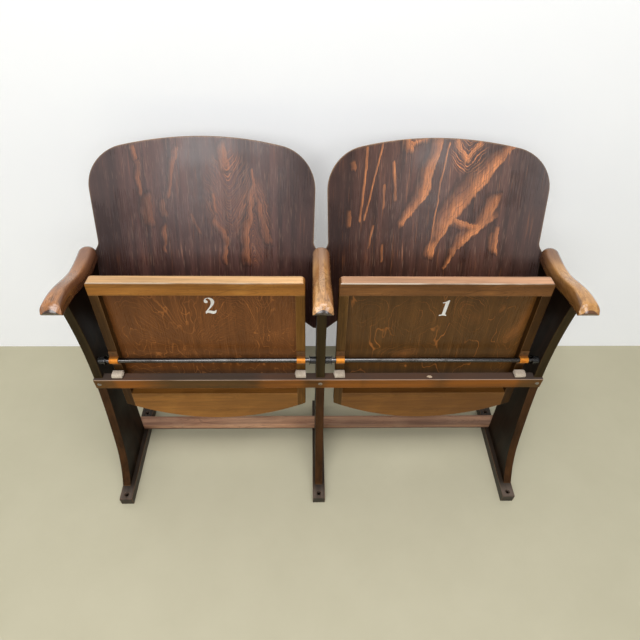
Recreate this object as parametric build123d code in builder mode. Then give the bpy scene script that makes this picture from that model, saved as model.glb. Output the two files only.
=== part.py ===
from build123d import *
import os
from math import cos, radians, sin, sqrt, tan

# Two-seat wooden tip-up cinema bench, millimetres.
# X runs along the bench, +Y to the rear, +Z up. The origin is the middle of the
# centre foot runner, on the floor. The tip-up seats are modelled folded up.

os.makedirs("parts", exist_ok=True)

# Layout along the bench
SEAT_PITCH = 530.0            # between the middles of neighbouring side panels
PANEL_THICKNESS = 21.0
SEAT_SIDE_GAP = 25.5          # side panel face to the edge of a seat

# Foot runners
RUNNER_LENGTH = 322.0
RUNNER_WIDTH = 33.0
RUNNER_HEIGHT = 28.0
RUNNER_ARRIS = 2.0
FLOOR_HOLE_FRONT = 14.0       # front end of the runner to the front floor hole
FLOOR_HOLE_REAR = 276.0       # front end of the runner to the rear floor hole
FLOOR_HOLE_RADIUS = 3.5
FLOOR_HOLE_SINK = 6.5         # countersink radius at the top of a floor hole

# Side panels: (depth behind the runner's front end, height above the floor)
PANEL_TOE = 39.0
PANEL_FOOT_DEPTH = 180.0
PANEL_ANKLE = (63.0, 66.0)
PANEL_SHIN = (105.0, 204.0)
PANEL_WAIST = (139.0, 425.0)
PANEL_SHOULDER = (131.0, 660.0)
PANEL_CALF = (227.5, 134.0)
PANEL_ARRIS = 1.5

# Rails that tie the panels together
RAIL_SETBACK = 129.0
RAIL_DEPTH = 21.0
RAIL_HEIGHT = 33.0
RAIL_DROP = 47.0              # rod's axis down to the top of the front rail
RAIL_ARRIS = 2.0
STRETCHER_DEPTH = 32.0
STRETCHER_HEIGHT = 20.0
STRETCHER_ARRIS = 2.0

# Pivot rod, with the collars that space the seats from the panels
PIVOT_SETBACK = 152.0
PIVOT_HEIGHT = 436.0
ROD_RADIUS = 6.0
ROD_OVERHANG = 4.0
ROD_ARRIS = 1.0
COLLAR_RADIUS = 8.75
COLLAR_LENGTH = 15.0
COLLAR_ARRIS = 1.0
WASHER_RADIUS = 11.0
WASHER_THICKNESS = 1.6

# Seats, measured from the rod: forward along the seat is up when folded
SEAT_LEAN = 4.7               # degrees that a folded seat leans back
SEAT_THICKNESS = 24.0
SEAT_FRONT = 225.0            # rod to the front edge
SEAT_REAR = 225.0             # rod to the tip of the curved rear edge
SEAT_REAR_CORNER = 166.0      # rod to the rear edge at the sides of the seat
SEAT_CORNER_ROUND = 10.0
SEAT_REAR_ROUND = 4.0
SEAT_ARRIS = 2.0
FRONT_RAIL_WIDTH = 35.0
SIDE_RAIL_WIDTH = 21.0
REAR_RAIL_INNER = 127.0       # rod to the inner edge of the rear rail
BOARD_THICKNESS = 6.0
BOARD_LAP = 8.0               # how far the plywood seat board laps onto the rails
TENON_THICKNESS = 10.0
TENON_DEPTH = 5.0             # seat underside to the near cheek of a tenon
SIDE_TENON_WIDTH = 13.0
SIDE_TENON_LENGTH = 20.0
REAR_TENON_WIDTH = 26.0
REAR_TENON_LENGTH = 13.0
REAR_TENON_SHOULDER = 8.0     # rear rail's inner edge to the tenon

# Saddle straps that hold the seats to the rod
STRAP_SHEET = 2.0
STRAP_WIDTH = 20.0
STRAP_LONG_FLANGE = 16.0
STRAP_SHORT_FLANGE = 11.0
STRAP_LONG_SCREW = 9.0        # bend of the strap to the screw in its long flange
STRAP_SHORT_SCREW = 5.5       # the same in its short flange

# Felt stop pads on the front rail
PAD_WIDTH = 29.0
PAD_HEIGHT = 16.0
PAD_ROUND = 6.0
PAD_FRONT_INSET = 2.0
PAD_CROWN = 1.5

# Bent plywood backs
BACK_RECLINE = 26.0           # degrees from upright
BACK_SETBACK = 369.6          # front face at the middle of the back, reference point
BACK_HEIGHT = 618.6           # height of that reference point
BACK_BEND = 800.0             # radius of the hollow front face
BACK_THICKNESS = 9.0
BACK_GAP = 2.0                # between the ears of neighbouring backs
BACK_TOP = 236.0              # reference point up the slope to the top edge
BACK_TOP_RISE = 40.0          # rise of the arched top edge over its corners
BACK_HEAD_GAP = 23.0          # between the heads of neighbouring backs
BACK_NECK_GAP = 34.0          # between their necks
BACK_CORNER = 95.0
BACK_FLARE = 28.0             # length of the flare from neck to ears
BACK_FLARE_ROUND = 22.0
BACK_ARRIS = 1.2
BACK_EDGE = 175.0             # reference point down the slope to the lower edge
BACK_LUG_EDGE = 208.0         # the same, to the tips of the lugs
BACK_LUG_WIDTH = 17.0         # lug tip, from the middle of the side panel
BACK_LUG_SLANT = 51.0         # run of the slanted edge beside a lug

# Armrests: (depth, height of the underside)
ARM_NOSE = (90.0, 651.0)
ARM_FOREARM = (120.0, 648.0)
ARM_FRONT_DOWEL = (165.0, 638.5)
ARM_DIP = (231.0, 618.0)
ARM_REAR_DOWEL = (288.0, 617.0)
ARM_REAR = (322.0, 620.0)
ARM_THICKNESS = 28.0
ARM_NOSE_HEIGHT = 24.0
ARM_NOSE_BULGE = 4.0
ARM_FRONT_WIDTH = 42.0
ARM_REAR_WIDTH = 40.0
ARM_CROWN = 15.0              # rounding of the top along the sides and the rear end
ARM_ROLL = 34.0               # length over which the nose is rolled down
ARM_ROLL_SLOPES = ((11.0, 52.0), (16.5, 33.0), (21.0, 16.0))    # height at the nose, degrees
ARM_ARCH_RISE = 9.5           # middle of the arched front face over its ends
DOWEL_RADIUS = 5.0
DOWEL_IN_ARM = 14.0
DOWEL_IN_PANEL = 24.0

# Countersunk wood screws: shank radius, head radius, length
SINK_ANGLE = 82.0
RAIL_SCREW = (2.5, 5.0, 60.0)
STRETCHER_SCREW = (2.5, 5.0, 62.0)
FOOT_SCREW = (2.5, 5.0, 62.0)
BACK_SCREW = (2.0, 3.6, 38.0)
STRAP_SCREW = (1.6, 3.2, 15.0)
SLOT_WIDTH = 1.0
SLOT_DEPTH = 1.0
FOOT_SCREW_FRONT = 46.0       # panel toe to the front foot screw
FOOT_SCREW_REAR = 105.0       # panel toe to the rear foot screw
FOOT_SCREW_RECESS = 1.0
BACK_SCREW_INSET = 7.0        # middle of the side panel to a back's screws
BACK_SCREW_LOWEST = 190.0     # reference point down the slope to the lowest screw
BACK_SCREW_STEP = 58.0
BACK_SCREWS = 3               # in each ear
BACK_SCREW_SINK = 1.2         # head below the rear face, at the screw's axis

# Clearances
FIT = 0.05                    # radial, pieces fixed in their holes
RUN = 0.10                    # radial, seats turning on the rod
SEAM = 0.10                   # between faces that are glued or screwed together
STOP_GAP = 0.30               # folded seat to its felt pads

# Values that follow from the sizes above
PLACES = {"left": -SEAT_PITCH, "middle": 0.0, "right": SEAT_PITCH}
SEATS = {"left": -SEAT_PITCH / 2, "right": SEAT_PITCH / 2}
FRONT = -RUNNER_LENGTH / 2
FRAME_LENGTH = 2 * SEAT_PITCH + PANEL_THICKNESS
SEAT_WIDTH = SEAT_PITCH - PANEL_THICKNESS - 2 * SEAT_SIDE_GAP
SEAT_INNER_WIDTH = SEAT_WIDTH - 2 * SIDE_RAIL_WIDTH
SIDE_RAIL_MID = (SEAT_WIDTH - SIDE_RAIL_WIDTH) / 2
SEAT_UNDERSIDE = ROD_RADIUS + RUN
SEAT_TOP = SEAT_UNDERSIDE + SEAT_THICKNESS
PIVOT = (FRONT + PIVOT_SETBACK, PIVOT_HEIGHT)
RAIL_TOP = PIVOT_HEIGHT - RAIL_DROP
LEAN_SIN, LEAN_COS = sin(radians(SEAT_LEAN)), cos(radians(SEAT_LEAN))
RECLINE_SIN, RECLINE_COS = sin(radians(BACK_RECLINE)), cos(radians(BACK_RECLINE))
BACK_WIDTH = SEAT_PITCH - BACK_GAP
BACK_HEAD_WIDTH = SEAT_PITCH - BACK_HEAD_GAP
BACK_NECK_WIDTH = SEAT_PITCH - BACK_NECK_GAP
REAR_FACE = FRONT + PANEL_TOE + PANEL_FOOT_DEPTH
ALONG_Y = (0, 1, 0)
ALONG_X = (1, 0, 0)


def save(part, name):
    part.label = name
    export_step(part, f"parts/{name}.step")


def deep(point):
    """A side-view point, from its depth behind the runner's front end."""
    return (FRONT + point[0], point[1])


def seat_point(along, below):
    """(y, z) of a folded seat's point, along it from the rod and behind the rod."""
    return (
        PIVOT[0] + along * LEAN_SIN + below * LEAN_COS,
        PIVOT[1] + along * LEAN_COS - below * LEAN_SIN,
    )


def hollow(across):
    """How far a back's front face stands forward at a distance from its middle."""
    return BACK_BEND - sqrt(BACK_BEND**2 - across**2)


def back_point(across, up, behind=0.0):
    """(y, z) on a back: across from its middle, up the slope, behind its front face."""
    rear = behind - hollow(across)
    return (
        FRONT + BACK_SETBACK + up * RECLINE_SIN + rear * RECLINE_COS,
        BACK_HEIGHT + up * RECLINE_COS - rear * RECLINE_SIN,
    )


def seat_plane(x_mid):
    """Plane of a folded seat: local Y runs forward along it, local Z out of its underside."""
    return Plane((x_mid, *PIVOT), x_dir=ALONG_X, z_dir=(0, -LEAN_COS, LEAN_SIN))


def seat_side_plane(x_mid):
    """Side view of a folded seat: local X runs forward along it, local Y to the sitting side."""
    return Plane((x_mid, *PIVOT), x_dir=(0, LEAN_SIN, LEAN_COS), z_dir=(-1, 0, 0))


def back_plane(x_mid):
    """Front view of a back: local Y runs up the slope, local Z out of the front face."""
    origin = (x_mid, *back_point(0.0, 0.0))
    return Plane(origin, x_dir=ALONG_X, z_dir=(0, -RECLINE_COS, RECLINE_SIN))


def bend_plane(x_mid):
    """Section across a back: local Y runs to the rear, local Z up the slope."""
    origin = (x_mid, *back_point(0.0, 0.0))
    return Plane(origin, x_dir=ALONG_X, z_dir=(0, RECLINE_SIN, RECLINE_COS))


def screw_at(origin, outward):
    """Plane for a screw: its head is at the origin and faces outward."""
    return Plane(origin, x_dir=ALONG_X, z_dir=outward)


def sink_holes(places, screw):
    """Countersunk clearance holes for screws, in the part being built."""
    shank, head, length = screw
    with Locations(*places):
        CounterSinkHole(shank + FIT, head + FIT, length + SEAM, SINK_ANGLE)


def screws(places, screw):
    """Countersunk slotted screws, added to the part being built."""
    shank, head, length = screw
    cone = (head - shank) / tan(radians(SINK_ANGLE / 2))
    top = (Align.CENTER, Align.CENTER, Align.MAX)
    with Locations(*places):
        Cylinder(shank, length, align=top)
        Cone(shank, head, cone, align=top)
        Box(SLOT_WIDTH, 2 * head, SLOT_DEPTH, align=top, mode=Mode.SUBTRACT)


# Places of the screws and dowels
rail_screw_places = [
    screw_at((x, FRONT + RAIL_SETBACK, RAIL_TOP - RAIL_HEIGHT / 2), (0, -1, 0))
    for x in PLACES.values()
]
stretcher_screw_places = [
    screw_at((x, REAR_FACE + STRETCHER_DEPTH, RUNNER_HEIGHT + STRETCHER_HEIGHT / 2), ALONG_Y)
    for x in PLACES.values()
]
foot_screw_places = [
    screw_at((x, FRONT + PANEL_TOE + depth, FOOT_SCREW_RECESS), (0, 0, -1))
    for x in PLACES.values()
    for depth in (FOOT_SCREW_FRONT, FOOT_SCREW_REAR)
]


def back_screw_places(x_mid):
    """Screws through the two ears of a back, into the panels' rear edges."""
    across = SEAT_PITCH / 2 - BACK_SCREW_INSET
    places = []
    for side in (-1, 1):
        for step in range(BACK_SCREWS):
            up = step * BACK_SCREW_STEP - BACK_SCREW_LOWEST
            head = back_point(across, up, BACK_THICKNESS - BACK_SCREW_SINK)
            origin = (x_mid + side * across, *head)
            places.append(screw_at(origin, (0, RECLINE_COS, -RECLINE_SIN)))
    return places


all_back_screw_places = [place for x in SEATS.values() for place in back_screw_places(x)]


def dowel_places(x_mid):
    """Middles of the two dowels under an armrest, on its underside."""
    return [(x_mid, *deep(point)) for point in (ARM_FRONT_DOWEL, ARM_REAR_DOWEL)]


def dowels(x_mid, slack):
    """Upright dowels, or their holes with some slack, from panel into armrest."""
    for x, y, z in dowel_places(x_mid):
        yield Plane((x, y, z - DOWEL_IN_PANEL - slack)), DOWEL_IN_PANEL + DOWEL_IN_ARM + 2 * slack


def strap_screw_places(x_mid):
    """One screw in each flange of a seat's two straps, driven into the side rails."""
    face = SEAT_UNDERSIDE - STRAP_SHEET
    leg = ROD_RADIUS + RUN + STRAP_SHEET
    places = []
    for side in (-1, 1):
        for along in (leg + STRAP_LONG_SCREW, -leg - STRAP_SHORT_SCREW):
            origin = (x_mid + side * SIDE_RAIL_MID, *seat_point(along, face))
            places.append(screw_at(origin, (0, -LEAN_COS, LEAN_SIN)))
    return places


# Foot runners, the end ones flush with the outer faces of their panels
for side, x_panel in PLACES.items():
    inset = (RUNNER_WIDTH - PANEL_THICKNESS) / 2
    x_runner = x_panel - inset * x_panel / SEAT_PITCH
    with BuildPart() as foot_runner:
        with Locations((x_runner, 0, RUNNER_HEIGHT / 2)):
            Box(RUNNER_WIDTH, RUNNER_LENGTH, RUNNER_HEIGHT)
        top_ends = foot_runner.edges().filter_by(Axis.X).group_by(Axis.Z)[-1]
        chamfer(top_ends, RUNNER_ARRIS)
        holes = [
            (x_runner, FRONT + depth, RUNNER_HEIGHT)
            for depth in (FLOOR_HOLE_FRONT, FLOOR_HOLE_REAR)
        ]
        with Locations(*holes):
            CounterSinkHole(FLOOR_HOLE_RADIUS, FLOOR_HOLE_SINK, RUNNER_HEIGHT, SINK_ANGLE)
        sink_holes([place for place in foot_screw_places if place.origin.X == x_panel], FOOT_SCREW)
    save(foot_runner.part, f"{side}_foot_runner")


def arm_underside():
    """The curve under an armrest, from nose to rear, that the panel's top also follows."""
    points = [ARM_NOSE, ARM_FOREARM, ARM_FRONT_DOWEL, ARM_DIP, ARM_REAR_DOWEL, ARM_REAR]
    return Spline(*[deep(point) for point in points])


# Side panels: shaped boards, bevelled behind to carry the bent backs
for side, x_panel in PLACES.items():
    half = PANEL_THICKNESS / 2
    lug_foot = back_point(SEAT_PITCH / 2 - half, -BACK_LUG_EDGE)
    behind_top = back_point(SEAT_PITCH / 2 - half, BACK_TOP / 2, BACK_FLARE)
    behind_foot = back_point(SEAT_PITCH / 2 - half, -BACK_LUG_EDGE, BACK_FLARE)
    with BuildPart() as side_panel:
        with BuildSketch(Plane.YZ.offset(x_panel - half)):
            with BuildLine():
                toe = (FRONT + PANEL_TOE, RUNNER_HEIGHT)
                heel = (REAR_FACE, RUNNER_HEIGHT)
                stretcher_top = (REAR_FACE, RUNNER_HEIGHT + STRETCHER_HEIGHT)
                shoulder = deep(PANEL_SHOULDER)
                Spline(toe, deep(PANEL_ANKLE), deep(PANEL_SHIN), deep(PANEL_WAIST), shoulder)
                Polyline(shoulder, (shoulder[0], behind_top[1]), behind_top, behind_foot, lug_foot)
                Spline(lug_foot, deep(PANEL_CALF), stretcher_top)
                Polyline(stretcher_top, heel, toe)
            make_face()
        extrude(amount=PANEL_THICKNESS)
        front_edges = side_panel.edges().filter_by(GeomType.BSPLINE).sort_by(Axis.Y)[:2]
        fillet(front_edges, PANEL_ARRIS)
        # The top follows the underside of the armrest
        with BuildSketch(Plane.YZ.offset(x_panel)):
            with BuildLine():
                under = arm_underside()
                above = behind_top[1] + ARM_THICKNESS
                Polyline(under @ 0, (FRONT, (under @ 0).Y), (FRONT, above))
                Polyline((FRONT, above), (behind_top[0], above), (behind_top[0], (under @ 1).Y))
                Line((behind_top[0], (under @ 1).Y), under @ 1)
            make_face()
        extrude(amount=PANEL_THICKNESS, both=True, mode=Mode.SUBTRACT)
        # The rear edge is bevelled to the hollow of the backs on either side
        with BuildSketch(bend_plane(x_panel).offset(-BACK_LUG_EDGE)):
            Rectangle(2 * PANEL_THICKNESS, 2 * BACK_BEND)
            with Locations((-SEAT_PITCH / 2, -BACK_BEND), (SEAT_PITCH / 2, -BACK_BEND)):
                Circle(BACK_BEND - SEAM, mode=Mode.SUBTRACT)
        extrude(amount=BACK_LUG_EDGE + BACK_TOP, mode=Mode.SUBTRACT)
        # Notch for the front rail, and the hole for the pivot rod
        with Locations((x_panel, FRONT + RAIL_SETBACK + RAIL_DEPTH, RAIL_TOP - RAIL_HEIGHT / 2)):
            Box(
                2 * PANEL_THICKNESS, 2 * RAIL_DEPTH, RAIL_HEIGHT,
                align=(Align.CENTER, Align.MAX, Align.CENTER), mode=Mode.SUBTRACT,
            )
        with Locations(Plane((x_panel, *PIVOT), z_dir=ALONG_X)):
            Cylinder(ROD_RADIUS + FIT, 2 * PANEL_THICKNESS, mode=Mode.SUBTRACT)
        for place, length in dowels(x_panel, FIT):
            with Locations(place):
                Cylinder(
                    DOWEL_RADIUS + FIT, length, mode=Mode.SUBTRACT,
                    align=(Align.CENTER, Align.CENTER, Align.MIN),
                )
        sink_holes([place for place in rail_screw_places if place.origin.X == x_panel], RAIL_SCREW)
        sink_holes(
            [place for place in stretcher_screw_places if place.origin.X == x_panel],
            STRETCHER_SCREW,
        )
        sink_holes([place for place in foot_screw_places if place.origin.X == x_panel], FOOT_SCREW)
        sink_holes(
            [place for place in all_back_screw_places if abs(place.origin.X - x_panel) < half],
            BACK_SCREW,
        )
    save(side_panel.part, f"{side}_side_panel")

# Armrests: S-shaped in side view, widening to a rounded nose
for side, x_panel in PLACES.items():
    with BuildPart() as armrest:
        with BuildSketch(Plane.YZ.offset(x_panel - ARM_FRONT_WIDTH / 2)):
            with BuildLine():
                under = arm_underside()
                nose_top = (under @ 0) + (0, ARM_NOSE_HEIGHT)
                upper = [
                    (FRONT + depth, height + ARM_THICKNESS)
                    for depth, height in (ARM_FRONT_DOWEL, ARM_DIP, ARM_REAR_DOWEL, ARM_REAR)
                ]
                crest = (FRONT + ARM_FOREARM[0], ARM_FOREARM[1] + ARM_THICKNESS)
                nose_mid = (under @ 0) + (-ARM_NOSE_BULGE, ARM_NOSE_HEIGHT / 2)
                ThreePointArc(under @ 0, nose_mid, nose_top)
                over = Spline(nose_top, crest, *upper)
                Line(over @ 1, under @ 1)
            make_face()
        extrude(amount=ARM_FRONT_WIDTH)
        # Plan outline: a taper from the nose to a fully rounded rear end
        with BuildSketch(Plane.XY.offset(ARM_DIP[1] - ARM_THICKNESS)):
            with BuildLine():
                front_y = FRONT + ARM_NOSE[0] - ARM_NOSE_BULGE
                rear_y = FRONT + ARM_REAR[0] - ARM_REAR_WIDTH / 2
                front_left = (x_panel - ARM_FRONT_WIDTH / 2, front_y)
                front_right = (x_panel + ARM_FRONT_WIDTH / 2, front_y)
                rear_left = (x_panel - ARM_REAR_WIDTH / 2, rear_y)
                rear_right = (x_panel + ARM_REAR_WIDTH / 2, rear_y)
                Polyline(rear_left, front_left, front_right, rear_right)
                ThreePointArc(rear_right, (x_panel, FRONT + ARM_REAR[0]), rear_left)
            make_face()
        extrude(amount=ARM_NOSE[1] - ARM_DIP[1] + 3 * ARM_THICKNESS, mode=Mode.INTERSECT)
        top = armrest.faces().filter_by(GeomType.EXTRUSION).sort_by(Axis.Z)[-1]
        fillet(top.edges().sort_by(Axis.Y)[1:], ARM_CROWN)
        # The nose is rolled down in arched slopes, each flatter than the one before it
        nose_plane = Plane((x_panel, front_y, ARM_NOSE[1]), x_dir=ALONG_X, z_dir=(0, -1, 0))
        half = ARM_FRONT_WIDTH / 2
        for height, slope in ARM_ROLL_SLOPES:
            with BuildPart(mode=Mode.PRIVATE) as waste:
                with BuildSketch(nose_plane):
                    Rectangle(4 * ARM_FRONT_WIDTH, 4 * ARM_FRONT_WIDTH)
                extrude(amount=-ARM_ROLL)
                with BuildSketch(nose_plane):
                    with BuildLine():
                        shoulder = height - ARM_ARCH_RISE
                        arch = ThreePointArc((-half, shoulder), (0, height), (half, shoulder))
                        Polyline(arch @ 1, (half, -ARM_THICKNESS), (-half, -ARM_THICKNESS), arch @ 0)
                    make_face()
                extrude(amount=-ARM_ROLL, taper=-slope, mode=Mode.SUBTRACT)
            add(waste.part, mode=Mode.SUBTRACT)
        for place, length in dowels(x_panel, FIT):
            with Locations(place):
                Cylinder(
                    DOWEL_RADIUS + FIT, length, mode=Mode.SUBTRACT,
                    align=(Align.CENTER, Align.CENTER, Align.MIN),
                )
    save(armrest.part, f"{side}_armrest")

with BuildPart() as armrest_dowels:
    for x_panel in PLACES.values():
        for place, length in dowels(x_panel, 0.0):
            with Locations(place):
                Cylinder(DOWEL_RADIUS, length, align=(Align.CENTER, Align.CENTER, Align.MIN))
save(armrest_dowels.part, "armrest_dowels")

# Front rail, let into the panels
with BuildPart() as front_rail:
    with Locations((0, FRONT + RAIL_SETBACK + RAIL_DEPTH / 2, RAIL_TOP - RAIL_HEIGHT / 2)):
        Box(FRAME_LENGTH, RAIL_DEPTH, RAIL_HEIGHT)
    front_edges = front_rail.edges().filter_by(Axis.X).group_by(Axis.Y)[0]
    fillet(front_edges, RAIL_ARRIS)
    sink_holes(rail_screw_places, RAIL_SCREW)
save(front_rail.part, "front_rail")

with BuildPart() as rail_screws:
    screws(rail_screw_places, RAIL_SCREW)
save(rail_screws.part, "rail_screws")

# Rear stretcher, lying on the runners behind the panels
with BuildPart() as rear_stretcher:
    with Locations((0, REAR_FACE + STRETCHER_DEPTH / 2, RUNNER_HEIGHT + STRETCHER_HEIGHT / 2)):
        Box(FRAME_LENGTH, STRETCHER_DEPTH, STRETCHER_HEIGHT)
    top_edges = rear_stretcher.edges().filter_by(Axis.X).group_by(Axis.Z)[-1]
    fillet(top_edges, STRETCHER_ARRIS)
    sink_holes(stretcher_screw_places, STRETCHER_SCREW)
save(rear_stretcher.part, "rear_stretcher")

with BuildPart() as stretcher_screws:
    screws(stretcher_screw_places, STRETCHER_SCREW)
save(stretcher_screws.part, "stretcher_screws")

with BuildPart() as foot_screws:
    screws(foot_screw_places, FOOT_SCREW)
save(foot_screws.part, "foot_screws")

# Pivot rod through all three panels, with its collars and washers
with BuildPart() as pivot_rod:
    with Locations(Plane((0, *PIVOT), z_dir=ALONG_X)):
        Cylinder(ROD_RADIUS, FRAME_LENGTH + 2 * ROD_OVERHANG)
    chamfer(pivot_rod.edges(), ROD_ARRIS)
save(pivot_rod.part, "pivot_rod")

collar_mids = [
    x_seat + side * (SEAT_PITCH - PANEL_THICKNESS - COLLAR_LENGTH) / 2
    for x_seat in SEATS.values()
    for side in (-1, 1)
]
with BuildPart() as pivot_collars:
    with Locations(*[Plane((x, *PIVOT), z_dir=ALONG_X) for x in collar_mids]):
        Cylinder(COLLAR_RADIUS, COLLAR_LENGTH)
    chamfer(pivot_collars.edges(), COLLAR_ARRIS)
    with Locations(Plane((0, *PIVOT), z_dir=ALONG_X)):
        Cylinder(ROD_RADIUS + FIT, FRAME_LENGTH, mode=Mode.SUBTRACT)
save(pivot_collars.part, "pivot_collars")

washer_shift = SEAT_PITCH / 2 - PANEL_THICKNESS / 2 - COLLAR_LENGTH - WASHER_THICKNESS / 2
washer_mids = [x_seat + side * washer_shift for x_seat in SEATS.values() for side in (-1, 1)]
with BuildPart() as pivot_washers:
    with Locations(*[Plane((x, *PIVOT), z_dir=ALONG_X) for x in washer_mids]):
        Cylinder(WASHER_RADIUS, WASHER_THICKNESS)
    with Locations(Plane((0, *PIVOT), z_dir=ALONG_X)):
        Cylinder(ROD_RADIUS + FIT, FRAME_LENGTH, mode=Mode.SUBTRACT)
save(pivot_washers.part, "pivot_washers")

# Felt stop pads on the front rail, behind them the folded seats' side rails
for seat, x_seat in SEATS.items():
    for side, sign in (("left", -1), ("right", 1)):
        x_pad = x_seat + sign * SIDE_RAIL_MID
        with BuildPart() as felt_pad:
            with BuildSketch(Plane.YZ.offset(x_pad - PAD_WIDTH / 2)) as pad_side:
                with BuildLine():
                    lean = LEAN_SIN / LEAN_COS
                    low_rear = PIVOT[0] + SEAT_UNDERSIDE / LEAN_COS - (PIVOT[1] - RAIL_TOP) * lean
                    low_rear -= STOP_GAP / LEAN_COS
                    high_rear = low_rear + PAD_HEIGHT * lean
                    pad_front = FRONT + RAIL_SETBACK + PAD_FRONT_INSET
                    crown = ((pad_front + high_rear) / 2, RAIL_TOP + PAD_HEIGHT)
                    shoulder = PAD_HEIGHT - PAD_CROWN
                    Polyline(
                        (pad_front, RAIL_TOP + shoulder), (pad_front, RAIL_TOP),
                        (low_rear, RAIL_TOP), (low_rear + shoulder * lean, RAIL_TOP + shoulder),
                    )
                    ThreePointArc(
                        (pad_front, RAIL_TOP + shoulder), crown,
                        (low_rear + shoulder * lean, RAIL_TOP + shoulder),
                    )
                make_face()
                fillet(pad_side.vertices().group_by(Axis.Y)[-1], PAD_ROUND)
            extrude(amount=PAD_WIDTH)
        save(felt_pad.part, f"{seat}_seat_{side}_felt_pad")

# Backs: bent plywood, cut to a rounded head, a necked flare and lugged ears
for seat, x_seat in SEATS.items():
    with BuildPart() as back:
        with BuildSketch(bend_plane(x_seat).offset(-BACK_LUG_EDGE)):
            with Locations((0, -BACK_BEND)):
                Circle(BACK_BEND + BACK_THICKNESS)
                Circle(BACK_BEND, mode=Mode.SUBTRACT)
            Rectangle(BACK_WIDTH, BACK_BEND, mode=Mode.INTERSECT)
        extrude(amount=BACK_LUG_EDGE + BACK_TOP)
        with BuildSketch(back_plane(x_seat).offset(-2 * BACK_THICKNESS)) as back_front:
            with BuildLine():
                neck = (BACK_NECK_WIDTH / 2, 0)
                ear = (BACK_WIDTH / 2, -BACK_FLARE)
                ear_tip = (BACK_WIDTH / 2, -BACK_LUG_EDGE)
                lug = (SEAT_PITCH / 2 - BACK_LUG_WIDTH, -BACK_LUG_EDGE)
                slant = (lug[0] - BACK_LUG_SLANT, -BACK_EDGE)
                corner = (BACK_HEAD_WIDTH / 2, BACK_TOP - BACK_TOP_RISE)
                Polyline((0, -BACK_EDGE), slant, lug, ear_tip, ear, neck, corner)
                ThreePointArc(corner, (0, BACK_TOP), (-corner[0], corner[1]))
                Polyline(
                    (-corner[0], corner[1]), (-neck[0], neck[1]), (-ear[0], ear[1]),
                    (-ear_tip[0], ear_tip[1]), (-lug[0], lug[1]), (-slant[0], slant[1]),
                    (0, -BACK_EDGE),
                )
            make_face()
            head_corners = back_front.vertices().group_by(Axis.Y)[-1]
            fillet(head_corners, BACK_CORNER)
            necks = [v for v in back_front.vertices() if abs(v.Y) < FIT]
            fillet(necks, BACK_FLARE_ROUND)
        extrude(amount=BACK_WIDTH / 2, mode=Mode.INTERSECT)
        broad_faces = back.faces().sort_by(SortBy.AREA)[-2:]
        chamfer(broad_faces.edges(), BACK_ARRIS)
        sink_holes(back_screw_places(x_seat), BACK_SCREW)
    save(back.part, f"{seat}_back")

with BuildPart() as back_screws:
    screws(all_back_screw_places, BACK_SCREW)
save(back_screws.part, "back_screws")

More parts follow.
